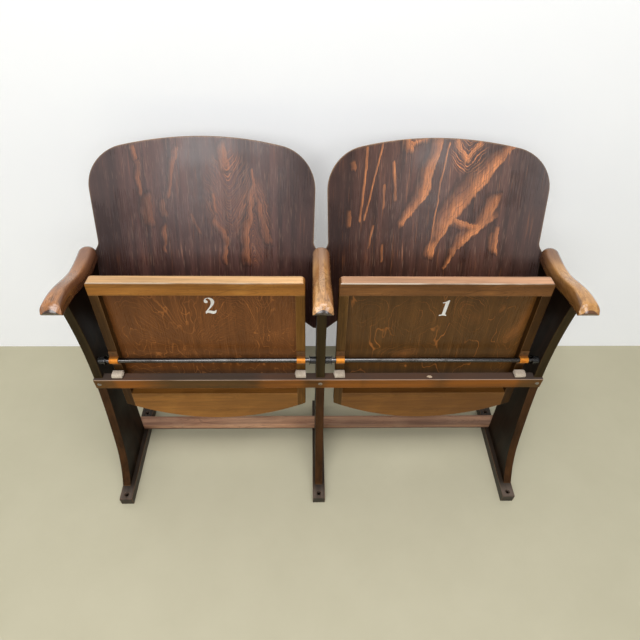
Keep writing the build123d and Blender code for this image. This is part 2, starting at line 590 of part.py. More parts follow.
# Tip-up seats
for seat, x_seat in SEATS.items():
    flat = seat_plane(x_seat)
    underside = flat.offset(-SEAT_UNDERSIDE)
    board_bed = flat.offset(-(SEAT_TOP - BOARD_THICKNESS - SEAM))
    tenon_bed = flat.offset(-(SEAT_UNDERSIDE + TENON_DEPTH))
    front_inner = SEAT_FRONT - FRONT_RAIL_WIDTH
    board_width = SEAT_INNER_WIDTH + 2 * BOARD_LAP
    board_length = front_inner + REAR_RAIL_INNER + 2 * BOARD_LAP
    board_mid = (front_inner - REAR_RAIL_INNER) / 2
    rear_tenon_mid = -REAR_RAIL_INNER - REAR_TENON_SHOULDER - REAR_TENON_WIDTH / 2

    # Front rail, mortised for the side rails and rabbeted for the board
    with BuildPart() as seat_front_rail:
        with BuildSketch(underside):
            with Locations((0, SEAT_FRONT - FRONT_RAIL_WIDTH / 2)):
                Rectangle(SEAT_WIDTH, FRONT_RAIL_WIDTH)
        extrude(amount=-SEAT_THICKNESS)
        ends = seat_front_rail.edges().filter_by(Axis(flat.origin, flat.z_dir)).group_by(Axis.Z)[-1]
        fillet(ends, SEAT_CORNER_ROUND)
        broad_faces = seat_front_rail.faces().sort_by(SortBy.AREA)[-2:]
        for face in broad_faces:
            fillet(face.edges().sort_by(Axis.Z)[1:], SEAT_ARRIS)
        with BuildSketch(board_bed):
            with Locations((0, board_mid)):
                Rectangle(board_width + 2 * SEAM, board_length + 2 * SEAM)
        extrude(amount=-SEAT_THICKNESS, mode=Mode.SUBTRACT)
        with BuildSketch(tenon_bed):
            with Locations((-SIDE_RAIL_MID, front_inner), (SIDE_RAIL_MID, front_inner)):
                Rectangle(SIDE_TENON_WIDTH + 2 * FIT, 2 * (SIDE_TENON_LENGTH + SEAM))
        extrude(amount=-TENON_THICKNESS - FIT, mode=Mode.SUBTRACT)
    save(seat_front_rail.part, f"{seat}_seat_front_rail")

    # Side rails, tenoned into the front rail, their rear ends on the seat's rear curve
    for side, sign in (("left", -1), ("right", 1)):
        rail_mid = sign * SIDE_RAIL_MID
        with BuildPart() as seat_side_rail:
            with BuildSketch(underside) as rail_outline:
                with BuildLine():
                    rear = ThreePointArc(
                        (-SEAT_WIDTH / 2, -SEAT_REAR_CORNER), (0, -SEAT_REAR),
                        (SEAT_WIDTH / 2, -SEAT_REAR_CORNER),
                    )
                    Polyline(
                        rear @ 1, (SEAT_WIDTH / 2, front_inner),
                        (-SEAT_WIDTH / 2, front_inner), rear @ 0,
                    )
                make_face()
                with Locations((rail_mid, 0)):
                    Rectangle(SIDE_RAIL_WIDTH, 2 * SEAT_FRONT, mode=Mode.INTERSECT)
                rear_corner = rail_outline.vertices().sort_by(Axis.Y)[1]
                fillet(rear_corner, SEAT_REAR_ROUND)
            extrude(amount=-SEAT_THICKNESS)
            long_edges = seat_side_rail.edges().filter_by(Axis(flat.origin, flat.y_dir))
            outer_edges = long_edges.group_by(Axis.X)[-1 if sign > 0 else 0]
            rear_edges = seat_side_rail.edges().filter_by(GeomType.CIRCLE)
            fillet(outer_edges + rear_edges, SEAT_ARRIS)
            with BuildSketch(tenon_bed):
                with Locations((rail_mid, front_inner + SIDE_TENON_LENGTH / 2)):
                    Rectangle(SIDE_TENON_WIDTH, SIDE_TENON_LENGTH)
            extrude(amount=-TENON_THICKNESS)
            with BuildSketch(board_bed):
                with Locations((0, board_mid)):
                    Rectangle(board_width + 2 * SEAM, board_length + 2 * SEAM)
            extrude(amount=-SEAT_THICKNESS, mode=Mode.SUBTRACT)
            with BuildSketch(tenon_bed):
                with Locations((sign * SEAT_INNER_WIDTH / 2, rear_tenon_mid)):
                    Rectangle(2 * (REAR_TENON_LENGTH + SEAM), REAR_TENON_WIDTH + 2 * FIT)
            extrude(amount=-TENON_THICKNESS - FIT, mode=Mode.SUBTRACT)
            sink_holes(
                [
                    place for place in strap_screw_places(x_seat)
                    if abs(place.origin.X - x_seat - rail_mid) < FIT
                ],
                STRAP_SCREW,
            )
        save(seat_side_rail.part, f"{seat}_seat_{side}_rail")

    # Rear rail: the broad curved counterweight behind the rod
    with BuildPart() as seat_rear_rail:
        with BuildSketch(underside):
            with BuildLine():
                rear = ThreePointArc(
                    (-SEAT_WIDTH / 2, -SEAT_REAR_CORNER), (0, -SEAT_REAR),
                    (SEAT_WIDTH / 2, -SEAT_REAR_CORNER),
                )
                Polyline(
                    rear @ 1, (SEAT_WIDTH / 2, -REAR_RAIL_INNER),
                    (-SEAT_WIDTH / 2, -REAR_RAIL_INNER), rear @ 0,
                )
            make_face()
            Rectangle(SEAT_INNER_WIDTH, 2 * SEAT_REAR, mode=Mode.INTERSECT)
        extrude(amount=-SEAT_THICKNESS)
        fillet(seat_rear_rail.edges().filter_by(GeomType.CIRCLE), SEAT_ARRIS)
        with BuildSketch(tenon_bed):
            with Locations((0, rear_tenon_mid)):
                Rectangle(SEAT_INNER_WIDTH + 2 * REAR_TENON_LENGTH, REAR_TENON_WIDTH)
        extrude(amount=-TENON_THICKNESS)
        with BuildSketch(board_bed):
            with Locations((0, board_mid)):
                Rectangle(board_width + 2 * SEAM, board_length + 2 * SEAM)
        extrude(amount=-SEAT_THICKNESS, mode=Mode.SUBTRACT)
    save(seat_rear_rail.part, f"{seat}_seat_rear_rail")

    # Plywood board, lying in the rabbet flush with the sitting side
    with BuildPart() as seat_board:
        with BuildSketch(flat.offset(-(SEAT_TOP - BOARD_THICKNESS))):
            with Locations((0, board_mid)):
                Rectangle(board_width, board_length)
        extrude(amount=-BOARD_THICKNESS)
    save(seat_board.part, f"{seat}_seat_board")

    # Saddle straps over the rod, screwed to the side rails
    with BuildPart() as seat_straps:
        for sign in (-1, 1):
            with BuildSketch(seat_side_plane(x_seat + sign * SIDE_RAIL_MID)):
                bore = ROD_RADIUS + RUN
                leg = bore + STRAP_SHEET
                Circle(leg)
                with Locations((0, SEAT_UNDERSIDE / 2)):
                    Rectangle(2 * leg, SEAT_UNDERSIDE)
                with Locations((-leg - STRAP_SHORT_FLANGE, SEAT_UNDERSIDE)):
                    Rectangle(
                        STRAP_SHORT_FLANGE + 2 * leg + STRAP_LONG_FLANGE, STRAP_SHEET,
                        align=(Align.MIN, Align.MAX),
                    )
                with Locations((0, SEAT_UNDERSIDE)):
                    Rectangle(
                        2 * leg, 2 * leg, align=(Align.CENTER, Align.MIN), mode=Mode.SUBTRACT,
                    )
                Circle(bore, mode=Mode.SUBTRACT)
                with Locations((0, SEAT_UNDERSIDE / 2)):
                    Rectangle(2 * bore, SEAT_UNDERSIDE, mode=Mode.SUBTRACT)
            extrude(amount=STRAP_WIDTH / 2, both=True)
        sink_holes(strap_screw_places(x_seat), STRAP_SCREW)
    save(seat_straps.part, f"{seat}_seat_straps")

    with BuildPart() as strap_screws:
        screws(strap_screw_places(x_seat), STRAP_SCREW)
    save(strap_screws.part, f"{seat}_seat_strap_screws")
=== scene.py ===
import math

import bmesh
import bpy
from mathutils import Matrix, Vector, noise


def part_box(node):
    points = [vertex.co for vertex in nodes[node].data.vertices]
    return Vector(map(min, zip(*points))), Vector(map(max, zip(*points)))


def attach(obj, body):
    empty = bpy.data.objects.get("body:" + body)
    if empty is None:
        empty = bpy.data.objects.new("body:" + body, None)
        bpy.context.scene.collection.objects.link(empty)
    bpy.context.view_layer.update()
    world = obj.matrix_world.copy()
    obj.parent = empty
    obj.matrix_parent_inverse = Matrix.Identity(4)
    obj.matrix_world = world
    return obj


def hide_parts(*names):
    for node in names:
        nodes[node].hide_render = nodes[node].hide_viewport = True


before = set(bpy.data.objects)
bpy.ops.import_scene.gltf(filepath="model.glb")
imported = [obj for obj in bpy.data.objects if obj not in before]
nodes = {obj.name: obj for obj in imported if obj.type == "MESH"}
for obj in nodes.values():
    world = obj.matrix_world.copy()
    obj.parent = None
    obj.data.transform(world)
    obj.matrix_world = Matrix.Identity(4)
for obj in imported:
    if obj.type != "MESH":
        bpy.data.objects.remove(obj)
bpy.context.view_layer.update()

# Two-seat wooden tip-up cinema bench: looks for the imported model, in metres.

MM = 0.001
X, Y, Z = 0, 1, 2

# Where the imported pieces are
SEAT_LEAN = math.radians(4.7)       # a folded seat, from upright
BACK_RECLINE = math.radians(26.0)   # a back, from upright
BACK_BEND = 0.8                     # radius of a back's bend
BACK_Y, BACK_Z = 0.2086, 0.6186     # where a back's own axes start, on its front face
PIVOT_Y, PIVOT_Z = -0.009, 0.436    # the rod's axis
BOARD_DEPTH = 24.1 * MM             # from the rod's axis to a seat board's underside
SEAT_EDGE = 0.2222                  # from the rod's axis up to a folded seat's worn front edge
RAIL_TOP = 0.389                    # top of the front rail
SEAT_MIDS = {"left": -0.265, "right": 0.265}
ARM_MIDS = {"left": -0.53, "middle": 0.0, "right": 0.53}

# Rays that see the wall and the world as a backdrop, which is paler than the light they give
SEEN_BY = ("Is Camera Ray", "Is Glossy Ray", "Is Transmission Ray")

scene = bpy.context.scene
scene.view_settings.view_transform = "Standard"


def link(obj):
    scene.collection.objects.link(obj)
    return obj


# Camera, as fitted to the photograph

LENS, SENSOR = 28.97, 36.0          # millimetres
CAMERA_PLACE = (-0.0302, -0.7799, 1.3824)
CAMERA_TURN = (46.37, 1.95, 1.43)   # pitch down, yaw and roll, in degrees


def place_camera():
    data = bpy.data.cameras.new("camera")
    data.sensor_width = SENSOR
    data.lens = LENS
    camera = link(bpy.data.objects.new("camera", data))
    pitch, yaw, roll = (math.radians(angle) for angle in CAMERA_TURN)
    forward = Vector((
        math.sin(yaw) * math.cos(pitch),
        math.cos(yaw) * math.cos(pitch),
        -math.sin(pitch),
    ))
    right = Vector((math.cos(yaw), -math.sin(yaw), 0.0))
    up = right.cross(forward)
    right, up = (
        math.cos(roll) * right + math.sin(roll) * up,
        math.cos(roll) * up - math.sin(roll) * right,
    )
    turn = Matrix((right, up, -forward)).transposed().to_4x4()
    camera.matrix_world = Matrix.Translation(CAMERA_PLACE) @ turn
    scene.camera = camera


place_camera()


# Materials

THROUGH = 50000.0                   # half depth of a figure that goes right through a board, in millimetres
HALO = 2.1                          # how much wider the glow around a flame is than the flame
SLOW, FAST = 0.80, 7.0              # how fast a flame falls off on its fading and on its crisp side
RIDGE = 0.26                        # how far a flame's brightest line lies towards its crisp side


class Nodes:
    """A node tree, with short ways to add maths to it."""

    def __init__(self, tree):
        self.tree = tree

    def add(self, kind, **settings):
        node = self.tree.nodes.new(kind)
        for key, value in settings.items():
            setattr(node, key, value)
        return node

    def feed(self, socket, value):
        if isinstance(value, bpy.types.NodeSocket):
            self.tree.links.new(value, socket)
        elif hasattr(value, "__len__") and len(value) == 3 and socket.type == "RGBA":
            socket.default_value = (*value, 1.0)
        else:
            socket.default_value = value

    def math(self, operation, a, b=0.0):
        node = self.add("ShaderNodeMath", operation=operation)
        self.feed(node.inputs[0], a)
        self.feed(node.inputs[1], b)
        return node.outputs[0]

    def chain(self, operation, values):
        result = values[0]
        for value in values[1:]:
            result = self.math(operation, result, value)
        return result

    def product(self, *values):
        return self.chain("MULTIPLY", values)

    def highest(self, values):
        return self.chain("MAXIMUM", values)

    def total(self, values):
        return self.chain("ADD", values)

    def vector_math(self, operation, *values):
        node = self.add("ShaderNodeVectorMath", operation=operation)
        for socket, value in zip(node.inputs, values):
            self.feed(socket, value)
        return node.outputs[0]


class Surface(Nodes):
    """A material's node tree, with short ways to add what the surfaces here need."""

    def __init__(self, name, origin=(0.0, 0.0, 0.0), tilt=0.0):
        self.material = bpy.data.materials.new(name)
        self.material.use_nodes = True
        super().__init__(self.material.node_tree)
        self.shader = self.tree.nodes["Principled BSDF"]
        coords = self.add("ShaderNodeTexCoord")
        self.normal = coords.outputs["Normal"]
        local = self.add("ShaderNodeMapping", vector_type="TEXTURE")
        self.feed(local.inputs["Vector"], coords.outputs["Object"])
        local.inputs["Location"].default_value = origin
        local.inputs["Rotation"].default_value = (-tilt, 0.0, 0.0)
        self.place = local.outputs[0]

    def mix(self, factor, a, b):
        node = self.add("ShaderNodeMix", data_type="RGBA")
        self.feed(node.inputs[0], factor)
        self.feed(node.inputs[6], a)
        self.feed(node.inputs[7], b)
        return node.outputs[2]

    def span(self, value, low, high, to_low=0.0, to_high=1.0):
        node = self.add("ShaderNodeMapRange", interpolation_type="SMOOTHSTEP")
        for socket, number in zip(node.inputs, (value, low, high, to_low, to_high)):
            self.feed(socket, number)
        return node.outputs[0]

    def scaled(self, vector, scale):
        node = self.add("ShaderNodeMapping")
        self.feed(node.inputs["Vector"], vector)
        node.inputs["Scale"].default_value = scale
        return node.outputs[0]

    def noise(self, vector, scale, detail=2.0, rough=0.5, bend=0.0):
        node = self.add("ShaderNodeTexNoise")
        self.feed(node.inputs["Vector"], vector)
        settings = {"Scale": scale, "Detail": detail, "Roughness": rough, "Distortion": bend}
        for key, value in settings.items():
            node.inputs[key].default_value = value
        return node.outputs["Fac"]

    def wander(self, vector, scale, amount, detail=2.0):
        """The place moved about by smooth noise, so that what is drawn there wanders like grain."""
        node = self.add("ShaderNodeTexNoise")
        self.feed(node.inputs["Vector"], vector)
        node.inputs["Scale"].default_value = scale
        node.inputs["Detail"].default_value = detail
        shift = self.vector_math("SUBTRACT", node.outputs["Color"], (0.5, 0.5, 0.5))
        return self.vector_math("MULTIPLY_ADD", shift, (amount, amount, amount), vector)

    def feather(self, vector, flecks, amount):
        """The place pushed along the fibres by fine streaks, so that figure ends in feathered edges."""
        push = self.math("SUBTRACT", flecks, 0.5)
        return self.vector_math("MULTIPLY_ADD", push, (0.0, 0.0, amount), vector)

    def placed(self, vector, middle, half_sizes, lean=0.0):
        """The place measured from a point of a board, in half sizes. Sizes in millimetres."""
        node = self.add("ShaderNodeMapping", vector_type="TEXTURE")
        self.feed(node.inputs["Vector"], vector)
        node.inputs["Location"].default_value = [value * MM for value in middle]
        node.inputs["Rotation"].default_value = (0.0, lean, 0.0)
        node.inputs["Scale"].default_value = [value * MM for value in half_sizes]
        return node.outputs[0]

    def round_off(self, vector):
        node = self.add("ShaderNodeTexGradient", gradient_type="SPHERICAL")
        self.feed(node.inputs["Vector"], vector)
        return node.outputs["Fac"]

    def blob(self, vector, across, up, half_across, half_up, lean=0.0):
        """1 at the middle of an oval on a board, falling to 0 at its rim."""
        half_sizes = (half_across, THROUGH, half_up)
        return self.round_off(self.placed(vector, (across, 0.0, up), half_sizes, lean))

    def stroke(self, vector, start, end):
        """1 along the line between two points, falling slowly on its left and fast on its right."""
        run = (end[0] - start[0], end[1] - start[1])
        length = math.hypot(*run)
        half_width = HALO * (start[2] + end[2]) / 2
        aside = RIDGE * half_width / length
        middle = (
            (start[0] + end[0]) / 2 - aside * run[1],
            0.0,
            (start[1] + end[1]) / 2 + aside * run[0],
        )
        half_sizes = (half_width, THROUGH, half_width)
        local = self.placed(vector, middle, half_sizes, math.atan2(*run))
        fading = self.vector_math("MULTIPLY", local, (SLOW, 1.0, 1.0))
        crisp = self.vector_math("MULTIPLY", local, (-FAST, 1.0, -1.0))
        local = self.vector_math("MAXIMUM", fading, crisp)
        local = self.vector_math("SUBTRACT", local, (0.0, 0.0, length / 2 / half_width))
        return self.round_off(self.vector_math("MAXIMUM", local, (0.0, 0.0, 0.0)))

    def lines(self, value, scale, width):
        """Thin lines at uneven steps of a value: 1 on a line, 0 between."""
        node = self.add("ShaderNodeTexNoise", noise_dimensions="1D")
        self.feed(node.inputs["W"], value)
        node.inputs["Scale"].default_value = scale
        steps = self.math("ADD", self.math("MULTIPLY", value, scale), node.outputs["Fac"])
        return self.span(self.math("PINGPONG", steps, 0.5), width, 0.3 * width)

    def parts(self, vector):
        node = self.add("ShaderNodeSeparateXYZ")
        self.feed(node.inputs[0], vector)
        return node.outputs

    def edges(self, radius):
        """About 1 on the edges and 0 on the flats: how far a rounded normal leaves the true one."""
        bevel = self.add("ShaderNodeBevel", samples=4)
        bevel.inputs["Radius"].default_value = radius
        true = self.add("ShaderNodeNewGeometry").outputs["Normal"]
        dot = self.add("ShaderNodeVectorMath", operation="DOT_PRODUCT")
        self.feed(dot.inputs[0], bevel.outputs[0])
        self.feed(dot.inputs[1], true)
        return self.span(dot.outputs["Value"], 0.995, 0.80)

    def bump(self, height, strength, distance, soft=0.0):
        """Fine relief. soft is the radius to which the shading of the edges is rounded."""
        node = self.add("ShaderNodeBump")
        if soft:
            bevel = self.add("ShaderNodeBevel", samples=8)
            bevel.inputs["Radius"].default_value = soft
            self.feed(node.inputs["Normal"], bevel.outputs[0])
        node.inputs["Strength"].default_value = strength
        node.inputs["Distance"].default_value = distance
        self.feed(node.inputs["Height"], height)
        self.feed(self.shader.inputs["Normal"], node.outputs[0])

    def finish(self, colour, roughness, **plain):
        self.feed(self.shader.inputs["Base Color"], colour)
        self.feed(self.shader.inputs["Roughness"], roughness)
        for key, value in plain.items():
            self.feed(self.shader.inputs[key.replace("_", " ")], value)
        return self.material


class Wood(Surface):
    """A surface with the noise that all the wood here shares, drawn out along its fibres."""

    def __init__(self, name, grain, origin, tilt, wear_width):
        super().__init__(name, origin, tilt)
        self.grain = grain
        self.streaks = self.noise(self.along_grain(0.05), 55.0, 4.0, 0.6)
        self.fibres = self.noise(self.along_grain(0.025), 620.0, 3.0, 0.6)
        self.flecks = self.noise(self.along_grain(0.04), 260.0, 2.0, 0.6)
        self.pores = self.noise(self.along_grain(0.06), 1500.0, 1.0, 0.5)
        self.clouds = self.noise(self.place, 7.0, 3.0, 0.55)
        self.edge = self.edges(wear_width)

    def along_grain(self, share):
        scale = [1.0, 1.0, 1.0]
        scale[self.grain] = share
        return self.scaled(self.place, scale)


RINGS = 9.0                         # rings that a board's own figure is cut into
PORE_TONE = (0.012, 0.008, 0.006)
WORN_TONE = (0.40, 0.21, 0.09)
COAT_ROUGHNESS = 0.12


def darker(tone, share):
    return tuple(share * part for part in tone)


def wood(name, grain, tones, origin=(0.0, 0.0, 0.0), tilt=0.0, figure=0.5, wear=0.5,
         wear_tone=WORN_TONE, wear_width=3.0 * MM, gloss=0.40, specular=0.35, soft=0.0,
         veins=0.0, coat=0.0, drawn=None, dress=None):
    """Stained and varnished wood. grain is the axis along the fibres; tones are dark, middle and light.

    drawn adds the light figure that is placed one by one, and dress tints the finished colour."""
    dark, middle, light = tones
    s = Wood(name, grain, origin, tilt, wear_width)

    base = s.mix(s.span(s.streaks, 0.30, 0.70), dark, middle)
    if figure:
        hills = s.noise(s.along_grain(0.30), 5.0, 2.0, 0.5, 0.5)
        ring = s.math("FRACT", s.math("MULTIPLY", hills, RINGS))
        flame = s.math("MULTIPLY", s.span(ring, 0.0, 0.10), s.span(ring, 0.75, 0.12))
        lit = s.product(flame, s.span(s.clouds, 0.35, 0.65, 0.25, 1.0), figure)
        base = s.mix(lit, base, light)
    if veins:
        layers = s.noise(s.along_grain(0.10), 22.0, 2.0, 0.5)
        base = s.mix(s.product(s.lines(layers, 34.0, 0.140), veins), base, darker(dark, 0.7))
    if drawn:
        base = drawn(s, base, light)
    base = s.mix(s.span(s.clouds, 0.60, 0.30, 0.0, 0.30), base, dark)
    base = s.mix(s.span(s.flecks, 0.60, 0.78, 0.0, 0.30), base, light)
    base = s.mix(s.span(s.fibres, 0.35, 0.65, 0.30, 0.0), base, darker(dark, 0.5))
    base = s.mix(s.span(s.pores, 0.63, 0.75, 0.0, 0.35), base, PORE_TONE)
    worn = s.product(s.edge, s.span(s.streaks, 0.25, 0.6, 0.4, 1.0), wear)
    base = s.mix(worn, base, wear_tone)
    if dress:
        base = dress(s, base)

    uneven = s.span(s.clouds, 0.3, 0.7, gloss - 0.07, gloss + 0.09)
    rough = s.math("ADD", uneven, s.span(s.fibres, 0.3, 0.7, -0.03, 0.05))
    height = s.math("ADD", s.math("MULTIPLY", s.fibres, 0.6), s.math("MULTIPLY", s.streaks, 0.4))
    s.bump(height, 0.12, 0.6 * MM, soft)
    return s.finish(
        base, rough, Specular_IOR_Level=specular, Coat_Weight=coat, Coat_Roughness=COAT_ROUGHNESS,
    )


def assign(material, *names):
    for name in names:
        mesh = nodes[name].data
        mesh.materials.clear()
        mesh.materials.append(material)


# Figure of the veneers: flames of light wood along paths of (across, up, half width), in millimetres

LEFT_BACK_FLAMES = [
    [(-142, 178, 6), (-147, 116, 6)],
    [(-131, 100, 12), (-132, 56, 13)],
    [(-98, 96, 7), (-100, 64, 7)],
    [(-103, 32, 6), (-105, -20, 6)],
    [(106, 124, 4), (97, 60, 9), (89, 12, 13), (90, -46, 8)],
    [(108, 118, 4), (120, 82, 7), (132, 54, 9), (146, 2, 6)],
    [(17, 48, 6), (41, 4, 8), (36, -44, 4)],
    [(-38, 62, 4), (-22, 18, 4)],
    [(12, 106, 5), (22, 68, 5)],
    [(46, 208, 15), (52, 176, 12)],
    [(-150, 216, 6), (-146, 190, 6)],
    [(-64, 206, 7), (-84, 112, 7)],
    [(108, 162, 4), (112, 126, 4)],
]
RIGHT_BACK_FLAMES = [
    [(168, 218, 8), (136, 190, 15), (107, 154, 19), (80, 116, 23),
     (53, 81, 23), (35, 55, 20), (17, 21, 15), (5, -24, 6)],
    [(136, 94, 11), (127, 57, 19), (109, 35, 18), (80, 8, 13), (56, -22, 7), (38, -60, 4)],
    [(61, 50, 13), (104, 38, 12)],
    [(1, 222, 10), (-9, 182, 16), (-20, 140, 14), (-38, 99, 12), (-59, 66, 9), (-76, 42, 10)],
    [(-70, 230, 11), (-66, 214, 8)],
    [(44, 226, 7), (72, 190, 7), (95, 221, 7)],
    [(27, 226, 2.6), (12, 138, 2.2), (-2, -20, 2.0)],
    [(-127, 222, 3), (-147, 128, 2.6), (-163, 54, 3)],
    [(-164, 214, 3.2), (-165, 146, 3), (-174, 52, 4)],
    [(-197, 74, 7), (-197, 42, 7)],
    [(-192, 184, 6), (-191, 170, 6)],
    [(-98, 182, 4), (-92, 102, 4)],
    [(-118, 130, 3), (-119, 84, 3)],
    [(-118, -8, 3), (-119, -46, 3)],
    [(154, 34, 8), (151, -16, 7)],
    [(-140, 42, 2.4), (-150, -12, 2.4)],
    [(-60, 226, 6), (-30, 230, 6)],
]
# Nested arches of thin lines: middle, foot, top, half width, and how fast they fall to their sides,
# or rise there if negative
LEFT_BACK_ARCHES = [(54, -10, 226, 74, -1.6), (108, -80, 160, 48, 2.6)]
RIGHT_BACK_ARCHES = [(72, 150, 260, 46, -1.1)]
ARCH_TIP = 3.0 * MM                 # how far the arches' tips are rounded
THIN = 4.5                          # half width of the widest figure that is drawn as a line
FEATHER = 0.014                     # how far fine streaks push the ends of the flames
RIM_TONE = (0.030, 0.015, 0.011)
SIDE_SHADE_TONE = (0.024, 0.011, 0.009)
BACK_RIM = (0.42, 0.26, 0.15)
FLECK_TONE = (0.27, 0.155, 0.105)
DARK_PLY, LIGHT_PLY = (0.050, 0.026, 0.015), (0.20, 0.105, 0.050)
PLY = 1.5 * MM                      # thickness of a ply


def ply_depth(s):
    """How far into a bent back a place is, from its front face."""
    across, depth, _ = s.parts(s.place)
    bow = s.math("SQRT", s.math("SUBTRACT", BACK_BEND ** 2, s.math("MULTIPLY", across, across)))
    return s.math("ADD", depth, s.math("SUBTRACT", BACK_BEND, bow))


def flames(paths, strength, arches):
    def drawn(s, base, light):
        """Flames with feathered ends and dark rims, nested arches of thin lines, and fine pale flecks."""
        plain = base
        gentle = s.wander(s.wander(s.place, 13.0, 0.032), 48.0, 0.013, 4.0)
        across, _, up = s.parts(gentle)
        for middle, foot, top, reach, slope in arches:
            off = s.math("SUBTRACT", across, middle * MM)
            tent = s.math("SQRT", s.math("ADD", s.math("MULTIPLY", off, off), ARCH_TIP ** 2))
            line = s.lines(s.math("ADD", up, s.math("MULTIPLY", tent, slope)), 125.0, 0.150)
            near = s.blob(gentle, middle, (foot + top) / 2, reach, (top - foot) / 2)
            base = s.mix(s.product(line, s.span(near, 0.0, 0.40), 0.90), base, light)
        broad = s.feather(gentle, s.flecks, FEATHER)
        fine = s.feather(s.wander(s.place, 16.0, 0.016), s.flecks, FEATHER)
        field = s.highest([
            s.stroke(broad if max(start[2], end[2]) > THIN else fine, start, end)
            for path in paths for start, end in zip(path, path[1:])
        ])
        rim = s.math("MULTIPLY", s.span(field, 0.05, 0.22), s.span(field, 0.45, 0.30))
        base = s.mix(s.math("MULTIPLY", rim, 0.60), base, RIM_TONE)
        patches = s.noise(s.scaled(gentle, (1.0, 1.0, 0.35)), 34.0, 2.0)
        uneven = s.span(patches, 0.34, 0.60, 0.50, 1.0)
        halo = s.product(s.span(field, 0.15, 0.80), s.span(s.flecks, 0.35, 0.62, 0.12, 0.50))
        core = s.product(s.span(field, 0.36, 0.88), s.span(s.fibres, 0.28, 0.58, 0.40, 1.0), uneven)
        lit = s.math("MULTIPLY", s.math("MAXIMUM", halo, core), strength)
        base = s.mix(lit, base, light)
        rings = s.product(s.lines(field, 5.0, 0.110), s.span(field, 0.10, 0.30), 0.45)
        base = s.mix(rings, base, RIM_TONE)
        base = s.mix(s.span(ply_depth(s), 2.0 * MM, 4.0 * MM), base, plain)
        dashes = s.noise(s.scaled(s.place, (1.0, 1.0, 0.07)), 430.0, 1.0)
        return s.mix(s.span(dashes, 0.60, 0.70, 0.0, 0.45), base, FLECK_TONE)
    return drawn


def ply_edges(tan_tone):
    def dress(s, base):
        """Painted shade towards a back's sides, plies along its cut edges, and its worn rim."""
        layer = ply_depth(s)
        # painted shade, darker towards the back's sides
        side_shade = s.span(s.math("ABSOLUTE", s.parts(s.place)[X]), 0.140, 0.240)
        base = s.mix(s.product(side_shade, s.span(s.clouds, 0.3, 0.7, 0.80, 0.55)), base, SIDE_SHADE_TONE)
        inside = s.math(
            "MULTIPLY", s.span(layer, 0.7 * MM, 1.6 * MM), s.span(layer, 8.4 * MM, 7.5 * MM),
        )
        ply = s.math("PINGPONG", layer, PLY)
        tone = s.mix(s.span(ply, 0.4 * MM, 1.0 * MM), DARK_PLY, LIGHT_PLY)
        base = s.mix(s.math("MULTIPLY", inside, 0.85), base, tone)
        rim = s.product(s.span(layer, 0.2 * MM, 0.9 * MM), s.span(layer, 2.2 * MM, 1.4 * MM))
        return s.mix(s.math("MULTIPLY", rim, s.span(s.clouds, 0.3, 0.7, 0.45, 0.9)), base, tan_tone)
    return dress


# Hills of the seat boards' figure: across, up, half width, half height, lean and rise
LEFT_BOARD_HILLS = [
    (70, 135, 75, 70, 0.5, 0.8), (45, 35, 80, 45, 0.2, 0.8),
    (-150, 60, 60, 150, 0.0, 0.5), (200, 60, 45, 190, 0.0, 0.7),
]
RIGHT_BOARD_HILLS = [
    (-72, 118, 30, 36, 0.0, 1.0), (-56, 112, 60, 66, 0.3, 0.9),
    (66, 125, 46, 72, -0.2, 1.1), (137, 142, 9, 30, 0.25, 1.0),
    (190, 90, 32, 190, 0.12, 0.9), (-60, 0, 80, 40, 0.0, 0.8),
    (-160, 130, 60, 40, -0.7, 0.6),
]
# Fans of lines: across and up of the foot, and reach
LEFT_BOARD_FANS = [(-40, 15, 150), (128, 62, 90)]


def contour_lines(hills, fans, steps, width, strength):
    def drawn(s, base, light):
        """Fine light lines along the contours of listed hills, and fans of lines between them."""
        plain = base
        place = s.wander(s.wander(s.place, 14.0, 0.042), 60.0, 0.009)
        rough = s.noise(s.scaled(s.place, (1.0, 1.0, 0.45)), 11.0, 3.0, 0.55)
        rises = [s.math("MULTIPLY", s.blob(place, *oval), rise) for *oval, rise in hills]
        height = s.total([s.math("MULTIPLY", rough, 0.9), *rises])
        broken = s.span(s.noise(s.place, 16.0, 2.0), 0.33, 0.58, 0.30, 1.0)
        base = s.mix(s.product(s.lines(height, steps, width), broken, strength), base, light)
        glow = s.span(s.highest(rises), 0.35, 0.9)
        base = s.mix(s.product(glow, s.span(rough, 0.40, 0.60, 0.0, 0.35)), base, light)
        across, _, up = s.parts(place)
        for foot_across, foot_up, reach in fans:
            aside = s.math("SUBTRACT", across, foot_across * MM)
            above = s.math("SUBTRACT", up, foot_up * MM)
            spokes = s.lines(s.math("ARCTAN2", aside, above), 13.0, 0.120)
            near = s.blob(place, foot_across, foot_up + 0.45 * reach, reach, reach)
            base = s.mix(s.product(spokes, s.span(near, 0.0, 0.5), broken, strength), base, light)
        depth = s.parts(s.place)[Y]
        return s.mix(s.span(depth, BOARD_DEPTH + 1.5 * MM, BOARD_DEPTH + 4.0 * MM), base, plain)
    return drawn


# Tints that follow where a piece faces or how high it is

def panel_dress(s, base):
    """Front edges lighter than the faces: olive above the front rail, reddish below it."""
    facing = s.span(s.parts(s.normal)[Y], -0.45, -0.85)
    height = s.parts(s.place)[Z]
    tone = s.mix(s.span(height, 0.340, 0.400), (0.066, 0.028, 0.010), (0.046, 0.031, 0.011))
    base = s.mix(s.product(facing, s.span(s.streaks, 0.3, 0.7, 0.35, 0.95)), base, tone)
    rubbed = s.product(s.edge, s.span(s.clouds, 0.35, 0.6, 0.0, 0.55))
    return s.mix(rubbed, base, (0.15, 0.088, 0.042))


